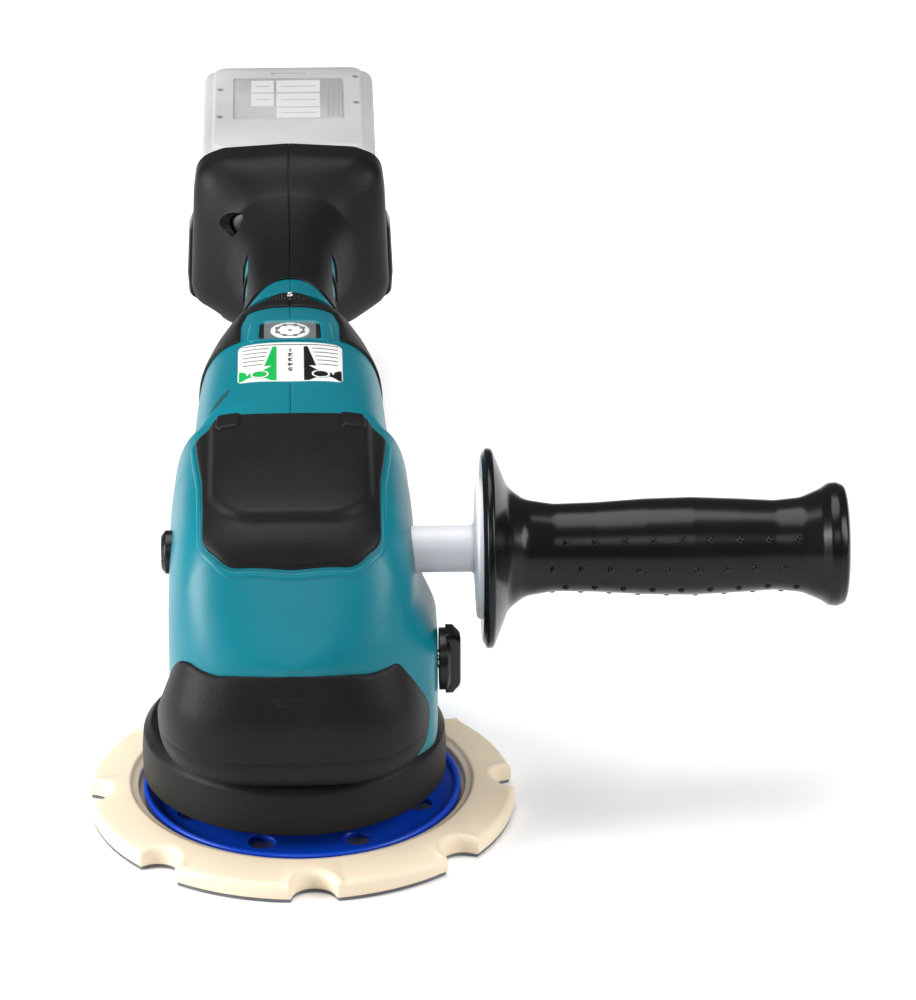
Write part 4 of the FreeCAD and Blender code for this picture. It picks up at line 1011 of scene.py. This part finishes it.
def bar(u0, v0, u1, v1, parts=5):
    """A thin rectangle with extra points along it, so that it can follow a curved surface."""
    lower = [(u0 + (u1 - u0) * k / parts, v0) for k in range(parts + 1)]
    upper = [(u1 + (u0 - u1) * k / parts, v1) for k in range(parts + 1)]
    return lower + upper


def written(name, text, size, at, lift, material, body="tool_body", surface=body_top, turn=180.0):
    """A generic digit laid on a surface, seen upright from the nose end when turn is 0."""
    curve = bpy.data.curves.new(name, "FONT")
    curve.body = text
    curve.size = size
    curve.align_x = "CENTER"
    curve.align_y = "CENTER"
    curve.extrude = 0.06
    holder = bpy.data.objects.new(name + "_text", curve)
    bpy.context.scene.collection.objects.link(holder)
    graph = bpy.context.evaluated_depsgraph_get()
    mesh = bpy.data.meshes.new_from_object(holder.evaluated_get(graph))
    bpy.data.objects.remove(holder)
    bpy.data.curves.remove(curve)
    cosine = math.cos(math.radians(turn))
    sine = math.sin(math.radians(turn))
    flat = np.array([vertex.co[:] for vertex in mesh.vertices])
    u = at[0] + flat[:, 0] * cosine - flat[:, 1] * sine
    v = at[1] + flat[:, 0] * sine + flat[:, 1] * cosine
    points = surface(u, v)
    points[:, 2] += lift + flat[:, 2]
    faces = [tuple(face.vertices) for face in mesh.polygons]
    bpy.data.meshes.remove(mesh)
    return keep_edges(piece(name, points, faces, material, body), 30)


LABEL = (-20.6, 84.0, 20.6, 122.4)


def build_label():
    """Speed and pad chart: white sheet, green and dark wedges, a scale of digits and plain rules."""
    x0, y0, x1, y1 = LABEL
    sheet = softened([(x0, y0), (0, y0 - 1), (x1, y0), (x1, y1), (0, y1 + 1.2), (x0, y1)],
                     [2.5, 60, 2.5, 4, 60, 4], 6, closed=True)
    laid_pad("chart_label", sheet, body_top, [(0.0, 0.10), (0.1, 0.22), (0.4, 0.26)], WHITE, rings=12,
             under=0.4)
    lift = 0.42
    green = [[(x0 + 0.4, y0 + 0.6), (-5.4, y0 - 0.4), (-5.4, y0 + 15), (x0 + 0.4, y0 + 10)],
             [(-10.2, y0 + 14), (-5.4, y0 + 14.6), (-5.4, y1 - 4), (-6.9, y1 - 4)]]
    flat_marking("chart_green_wedge", green, lift, GREEN)
    dark = [[(5.4, y0 - 0.4), (x1 - 0.4, y0 + 0.6), (x1 - 0.4, y0 + 10), (5.4, y0 + 15)],
            [(5.4, y0 + 14.6), (10.2, y0 + 14), (6.9, y1 - 4), (5.4, y1 - 4)]]
    flat_marking("chart_dark_wedge", dark, lift, INK)
    rules = []
    for row in range(5):
        y = y0 + 15.5 + row * 4.2
        reach = 9.0 - row * 0.6
        rules.append(bar(-18.8, y, -reach - 2.0, y + 0.35))
        rules.append(bar(reach + 2.0, y, 18.8, y + 0.35))
    flat_marking("chart_rules", rules, lift, INK)
    outline = [bar(x0 + 1.5, y1 - 2.2, x1 - 1.5, y1 - 1.8, 12)]
    flat_marking("chart_border", outline, lift, INK)
    for number in range(5):
        text = str(number + 1)
        written("chart_digit_" + text, text, 4.6, (0, y1 - 8.0 - number * 5.0), lift, INK)
    count = 28
    for side, name in ((-1, "left"), (1, "right")):
        x, y = side * 12.0, y0 + 5.6
        ring, hole = ([(x + a, y + b) for a, b in circle(radius, count)] for radius in (3.6, 2.9))
        quads = [[ring[k], ring[(k + 1) % count], hole[(k + 1) % count], hole[k]] for k in range(count)]
        flat_marking("chart_pad_ring_" + name, quads, lift + 0.15, WHITE)


def build_dial():
    """Knurled speed dial on the tool's axis direction, with raised ribs and a digit."""
    centre_y = (dial_low[1] + dial_high[1]) / 2
    centre_z = (dial_low[2] + dial_high[2]) / 2
    radius = (dial_high[2] - dial_low[2]) / 2
    width = (dial_high[1] - dial_low[1]) / 2
    ribs = 44
    count = ribs * 8
    rings = []
    for along, inset, knurl in ((-width, 3.0, 0), (-width, 1.4, 0), (-width + 0.3, 0.9, 0.5),
                                (-width + 0.9, 0.2, 1), (0.4, 0.0, 1), (0.8, 0.15, 0.0),
                                (width - 0.5, 0.2, 0), (width, 0.9, 0), (width, 3.0, 0)):
        ring = []
        for step in range(count):
            turn = 2 * math.pi * step / count
            groove = 0.75 * knurl * (0.5 - 0.5 * math.cos(ribs * turn)) ** 2
            reach = radius - inset - groove
            ring.append((reach * math.sin(turn), centre_y + along, centre_z + reach * math.cos(turn)))
        rings.append(ring)
    keep_edges(piece("speed_dial_wheel", *lofted(rings), BLACK, "dial", ["speed_dial"]), 50)

    for number in range(5):
        text = str(number + 1)
        written_on_dial("dial_digit_" + text, text, radius, centre_y + 0.6, centre_z, (4 - number) * 50.0)


def written_on_dial(name, text, radius, y, centre_z, degrees):
    """A digit on the dial's rim, turned about the dial's axis by degrees from the top."""
    def rim(u, v):
        turn = u / radius + math.radians(degrees)
        return np.stack([radius * np.sin(turn), v, centre_z + radius * np.cos(turn)], -1)
    return written(name, text, 5.8, (0, y), 0.0, WHITE, "dial", rim, 0.0)


# ------------------------------------------------------------------ battery

BATTERY_SKIN = 0.15        # how far the mouldings stand outside the CAD's faces
BATTERY_SCREWS = ((-30, 63), (30, 47), (-30, 30), (30, 15))   # x, distance from the rear face


def boxed_ring(half, front, back, z, radius):
    """A rounded rectangle at height z, from front to back."""
    return [(x, y, z) for x, y in rounded_box(-half, front, half, back, radius, 6)]


def build_battery():
    """Slide-on battery, bottom face up: two case halves, a raised panel and a label recess."""
    y0 = battery_low[1]
    half, y1, z1 = battery_high
    split = cad_size("battery_case_upper")[0][2]
    body_z = split - 29.0
    skin = BATTERY_SKIN
    rings = [boxed_ring(half + skin - inset, y0 - skin + inset, y1 + skin - inset, z, radius)
             for inset, z, radius in ((2.5, body_z, 3), (1.0, body_z + 1, 4), (0, body_z + 3.5, 5),
                                      (0, split - 0.7, 5), (0.4, split - 0.15, 5))]
    piece("battery_lower_moulding", *lofted(rings), BATTERY, "battery")
    rings = [boxed_ring(half - 0.25, y0 + 0.4, y1 - 0.25, split + 0.15, 5),
             boxed_ring(half + skin, y0, y1 + skin, split + 0.7, 5),
             boxed_ring(half + skin, y0, y1 + skin, z1 - 6, 6)]
    # the raised panel: inset from the sides, the front and the back, depth under the top, corner radius
    for side, front, back, depth, radius in (
            (0.5, 1.6, 0.6, 3.6, 7), (1.6, 4.0, 1.4, 2.3, 7), (3.6, 8, 2.2, 1.9, 7), (4.2, 9.0, 2.5, 1.6, 6),
            (4.7, 10, 2.8, 0.5, 6), (5.3, 11, 3.3, 0, 6)):
        rings.append(boxed_ring(half - side, y0 + front, y1 - back, z1 - depth, radius))
    upper = piece("battery_upper_moulding", *lofted(rings), BATTERY, "battery", ["battery_case_upper"])
    label = ((-24.5, y1 - 66.5), (24.5, y1 - 16.5))
    cut_by(upper, slab_cutter((*label[0], z1 - 0.6), (*label[1], z1 + 5), 2.0))
    for x, from_rear in BATTERY_SCREWS:
        y = y1 - from_rear
        cut_by(upper, cutter(*lofted([[(x + a, y + b, z) for a, b in circle(1.7, 28)]
                                      for z in (z1 - 2.2, z1 + 1)])))
        turned("battery_screw_%d" % int(y), [(0, z1 - 2.1), (1.5, z1 - 2.1), (1.5, z1 - 1.5), (0, z1 - 1.3)],
               METAL, (x, y, 0), segments=24, body="battery")
    cut_by(upper, slab_cutter((-8, y1 - 11.5, z1 - 0.7), (8, y1 - 9.5, z1 + 3), 0.5))
    keep_edges(upper, 38)
    rounded_plate("battery_label", (label[0][0] + 0.6, label[0][1] + 0.6, z1 - 0.7),
                  (label[1][0] - 0.6, label[1][1] - 0.6, z1 - 0.25), 1.6, BATTERY_DARK, 0.1, body="battery")

    def panel(u, v):
        return np.stack([u, v, np.full(np.shape(u), z1 - 0.25)], -1)
    top = label[1][1]
    boxes = [(-16.5, top - 17, -6.5, top - 2.5), (-16.5, top - 33.5, -6.5, top - 18.5),
             (-5.3, top - 17, 14, top - 2.5), (-5.3, top - 34.5, 14, top - 18.5),
             (-5.3, top - 48, 14, top - 36)]
    plates = [[(u0, v0), (u1, v0), (u1, v1), (u0, v1)] for u0, v0, u1, v1 in boxes]
    flat_marking("battery_label_boxes", plates, 0.10, BATTERY_PALE, panel, body="battery")
    lines = [bar(u0 + 2, (v0 + v1) / 2 - 0.4, u1 - 2, (v0 + v1) / 2 + 0.4) for u0, v0, u1, v1 in boxes]
    lines += [bar(17.0 + 2.2 * row, top - 46, 17.6 + 2.2 * row, top - 4) for row in range(3)]
    flat_marking("battery_label_lines", lines, 0.16, BATTERY_DARK, panel, body="battery")


def build_dock():
    """Battery dock: a wing panel behind the flare and a rail bed with chamfered lower corners."""
    y0, y1 = dock_low[1], dock_high[1]
    low, high = dock_low[2], dock_high[2]
    half = dock_high[0]
    wing = mirrored([(half - 2, 104.5, 1.0), (half - 0.4, 100.5, 2), (half + 0.5, 82, 6),
                     (half - 0.2, 71.5, 4), (27, low + 1, 6)])
    room = mirrored([(38.4, 104.5, 0.5), (38.4, 70.8, 1), (26, 70.0, 1)])
    rings = []
    for y, scale in ((y0 - 6.0, 0.985), (y0 - 5.0, 1.0), (y0 + 9.0, 1.0), (y0 + 10.5, 0.985)):
        rings.append([(x * scale, y, z) for x, z in wing])
    panel = piece("dock_wing_panel", *lofted(rings), BLACK)
    room = [(x, z + (9 if z > 100 else 0)) for x, z in room]
    cut_by(panel, cutter(*lofted([[(x, y, z) for x, z in room] for y in (y0 + 1.0, y0 + 20)])))
    keep_edges(panel, 40)
    bed = softened([(half, high), (half - 4.6, high), (half - 4.6, low + 5), (4.6 - half, low + 5),
                    (4.6 - half, high), (-half, high), (-half + 0.3, low + 9), (10 - half, low),
                    (half - 10, low), (half - 0.3, low + 9)], [0.8, 0.5, 0.4, 0.4, 0.5, 0.8, 1, 2, 2, 1],
                    closed=True)
    rings = [[(x * scale, y, z) for x, z in bed] for y, scale in ((y0 + 8, 1.0), (y1 - 1, 1.0), (y1, 0.99))]
    keep_edges(piece("battery_dock_bed", *lofted(rings), BLACK, stands_for=["battery_dock"]), 40)
    for side, name in ((-1, "left"), (1, "right")):
        x0, x1 = sorted((side * (half - 23.4), side * (half - 4.0)))
        rounded_plate("dock_rail_" + name, (x0, y0 + 18, high - 2.3), (x1, y1 - 0.5, high), 0.6, BLACK, 0.3)


# ------------------------------------------------------------------ side handle, knob, plug

def build_side_handle():
    """Side handle: pale tube with a flange disc, and a moulded grip with rows of round bumps."""
    axis = (0, HANDLE_Y, HANDLE_Z)
    start = tube_low[0]
    flange = HANDLE_FLANGE
    tube = softened([(4.2, start), (9.0, start), (9.0, flange - 1.5), (26.2, flange - 0.6),
                     (27.0, flange + 0.2), (27.0, flange + 2), (4.2, flange + 2)],
                     [0.2, 0.3, 2.0, 0.6, 0.6, 0.3, 0.2], closed=True)
    turned("handle_tube_moulding", tube + [tube[0]], PALE, axis, "X", 96, stands_for=["handle_tube"])
    base = flange + 2
    grip = softened([
        (27.4, base), (35.5, base - 0.6), (38.5, base + 1.2), (38.3, base + 3.6), (32, base + 6.2),
        (23.5, base + 9.5), (18.6, base + 16), (16.8, base + 27), (17.2, base + 43), (18.4, base + 62),
        (18.8, base + 80), (18.0, base + 98), (17.2, base + 112), (18.2, base + 122), (21.2, base + 129),
        (23.5, base + 132.5), (23.8, base + 135.5), (22.6, base + 138.6), (19.5, base + 139.5),
        (17.8, base + 139.5), (17.2, base + 138.9), (16.6, base + 139.5), (0, base + 139.5)],
        [0.5, 1.0, 1.4, 2.4, 9, 9, 10, 14, 20, 20, 20, 20, 16, 12, 6, 2.5, 2.5, 2.5, 1, 0.3, 0.3, 0.3, 0],
        steps=7)
    grip = [(4.2, base)] + grip
    rings = [[(along, HANDLE_Y + a, HANDLE_Z + b) for a, b in circle(radius, 144)] for radius, along in grip]
    piece("side_handle_moulding", *lofted(rings), GLOSS_BLACK,
          stands_for=["side_handle_grip", "handle_end_cap"])
    build_handle_bumps([(along, radius) for radius, along in grip if radius > 16], base)


BUMP_ROWS = 8
BUMPS_IN_ROW = 9
BUMP_PITCH = 11.0
BUMP_PROFILE = ((0.0, 1.45), (0.4, 1.45), (0.85, 1.2), (1.15, 0.7))   # rise, radius
BUMP_TIP = 1.35


def build_handle_bumps(profile, base):
    """Rows of domed bumps round the grip, which leave its upper front bare."""
    xs, radii = zip(*profile)
    points, faces = [], []
    for row in range(BUMP_ROWS):
        angle = math.radians(148.5 + 36 * row)
        out = np.array([0, math.cos(angle), math.sin(angle)])
        side = np.array([0, -math.sin(angle), math.cos(angle)])
        first = base + (31.5 if row % 2 == 0 else 26.5)
        for number in range(BUMPS_IN_ROW):
            along = first + number * BUMP_PITCH
            centre = np.array([along, HANDLE_Y, HANDLE_Z]) + out * (float(np.interp(along, xs, radii)) - 0.4)
            rings = [[centre + out * rise + np.array([a, 0, 0]) + side * b for a, b in circle(reach, 16)]
                     for rise, reach in BUMP_PROFILE]
            dome, sides = lofted(rings, cap_end=False)
            start, top = len(points), len(dome) - 16
            sides += [(top + step, top + (step + 1) % 16, len(dome)) for step in range(16)]
            points += dome + [tuple(centre + out * BUMP_TIP)]
            faces += [tuple(start + index for index in face) for face in sides]
    piece("side_handle_bumps", points, faces, GLOSS_BLACK)


def build_mode_knob():
    """Mode knob: a round base and a tall chamfered grip bar."""
    x0, x1 = knob_low[0], knob_high[0]
    y = (knob_low[1] + knob_high[1]) / 2
    z = (knob_low[2] + knob_high[2]) / 2
    base = softened([(0, x0), (12, x0), (12, x0 + 3.2), (10.5, x0 + 4.2), (0, x0 + 4.2)],
                    [0, 0.3, 1.0, 0.8, 0])
    turned("mode_knob_base", base, BLACK, (0, y, z), "X", 72, body="mode_lever")
    rings = []
    for x, half_y, half_z in ((x0 + 2.5, 6.0, 12.6), (x0 + 5.2, 5.8, 12.6), (x1 - 2.2, 5.2, 11.8),
                              (x1 - 0.7, 4.3, 10.6), (x1 - 0.15, 3.6, 9.8), (x1, 3.0, 9.0)):
        plan = rounded_box(-half_y, -half_z, half_y, half_z, 2.4)
        rings.append([(x, y + a, z + b) for a, b in plan])
    keep_edges(piece("mode_knob_bar", *lofted(rings), BLACK, "mode_lever", ["mode_knob"]), 50)


def build_boss_plug():
    """Cap screwed into the free handle boss, with a slot across it."""
    outer = cad_size("boss_plug")[0][0]
    profile = softened([(0, outer), (6.4, outer), (8.4, outer + 1.6), (8.4, outer + 5.6), (0, outer + 5.6)],
                       [0, 1.0, 1.0, 0.3, 0], steps=5)
    plug = turned("boss_plug_cap", profile, BLACK, (0, HANDLE_Y, HANDLE_Z), "X", 64, stands_for=["boss_plug"])
    cut_by(plug, slab_cutter((outer - 1, HANDLE_Y - 7, HANDLE_Z - 1.1),
                             (outer + 1.3, HANDLE_Y + 7, HANDLE_Z + 1.1), 0))
    keep_edges(plug, 40)


# ------------------------------------------------------------------ stage, light, camera

FLOOR_HALF = 6             # metres
STUDIO_STRENGTH = 0.12


def build_stage():
    """Plain pale floor and an even white surround."""
    mesh = bpy.data.meshes.new("floor")
    corners = [(-1, -1), (1, -1), (1, 1), (-1, 1)]
    mesh.from_pydata([(x * FLOOR_HALF, y * FLOOR_HALF, 0) for x, y in corners], [], [(0, 1, 2, 3)])
    floor = bpy.data.objects.new("floor", mesh)
    bpy.context.scene.collection.objects.link(floor)
    material, nodes, _ = new_material("pale_floor")
    nodes["Principled BSDF"].inputs["Base Color"].default_value = (0.93, 0.93, 0.93, 1)
    nodes["Principled BSDF"].inputs["Roughness"].default_value = 0.8
    mesh.materials.append(material)
    world = bpy.data.worlds.new("studio")
    bpy.context.scene.world = world
    world.use_nodes = True
    world.node_tree.nodes["Background"].inputs["Color"].default_value = (1, 1, 1, 1)
    world.node_tree.nodes["Background"].inputs["Strength"].default_value = STUDIO_STRENGTH


# name, place, target, size, watts; metres in the row's frame
LIGHTS = [
    ("left_softbox", (-1.75, -0.35, 0.65), (0, 0.05, 0.08), (1.0, 1.0), 56),
    ("right_softbox", (1.6, -0.5, 1.0), (0, 0.05, 0.08), (0.8, 1.0), 25),
    ("top_softbox", (-0.15, 0.35, 1.9), (0, 0.2, 0.0), (1.5, 1.3), 33),
    ("front_softbox", (0.0, -2.2, 2.0), (0, 0.0, 0.08), (1.2, 0.8), 10),
]


def area_light(name, place, target, size, power):
    """A rectangular softbox that points at its target."""
    light = bpy.data.lights.new(name, "AREA")
    light.shape = "RECTANGLE"
    light.size, light.size_y = size
    light.energy = power
    obj = bpy.data.objects.new(name, light)
    obj.location = place
    obj.rotation_euler = (Vector(target) - Vector(place)).to_track_quat("-Z", "Y").to_euler()
    bpy.context.scene.collection.objects.link(obj)


CAMERA_AT = (0.0053, -2.0361, 1.0768)
CAMERA_PITCH = 24.97       # degrees below level
CAMERA_YAW = 1.63          # degrees towards +X
CAMERA_LENS = 213.1        # millimetres, on a 36 mm sensor


def build_camera():
    """Camera at the viewing angle of the front, from above."""
    camera = bpy.data.cameras.new("camera")
    camera.lens = CAMERA_LENS
    camera.sensor_width = 36.0
    camera.clip_end = 50
    obj = bpy.data.objects.new("camera", camera)
    obj.location = CAMERA_AT
    obj.rotation_euler = (math.radians(90 - CAMERA_PITCH), 0, math.radians(-CAMERA_YAW))
    bpy.context.scene.collection.objects.link(obj)
    bpy.context.scene.camera = obj


dress_cad_nodes()
squash_trigger_spring()
build_pad()
build_plate()
build_skirt()
build_head()
build_nose()
build_top_cover()
build_housing()
build_grip()
build_collar()
build_window()
build_label()
build_dial()
build_battery()
build_dock()
build_side_handle()
build_mode_knob()
build_boss_plug()
build_stage()
for light in LIGHTS:
    area_light(*light)
build_camera()
bpy.context.scene.view_settings.view_transform = "Standard"
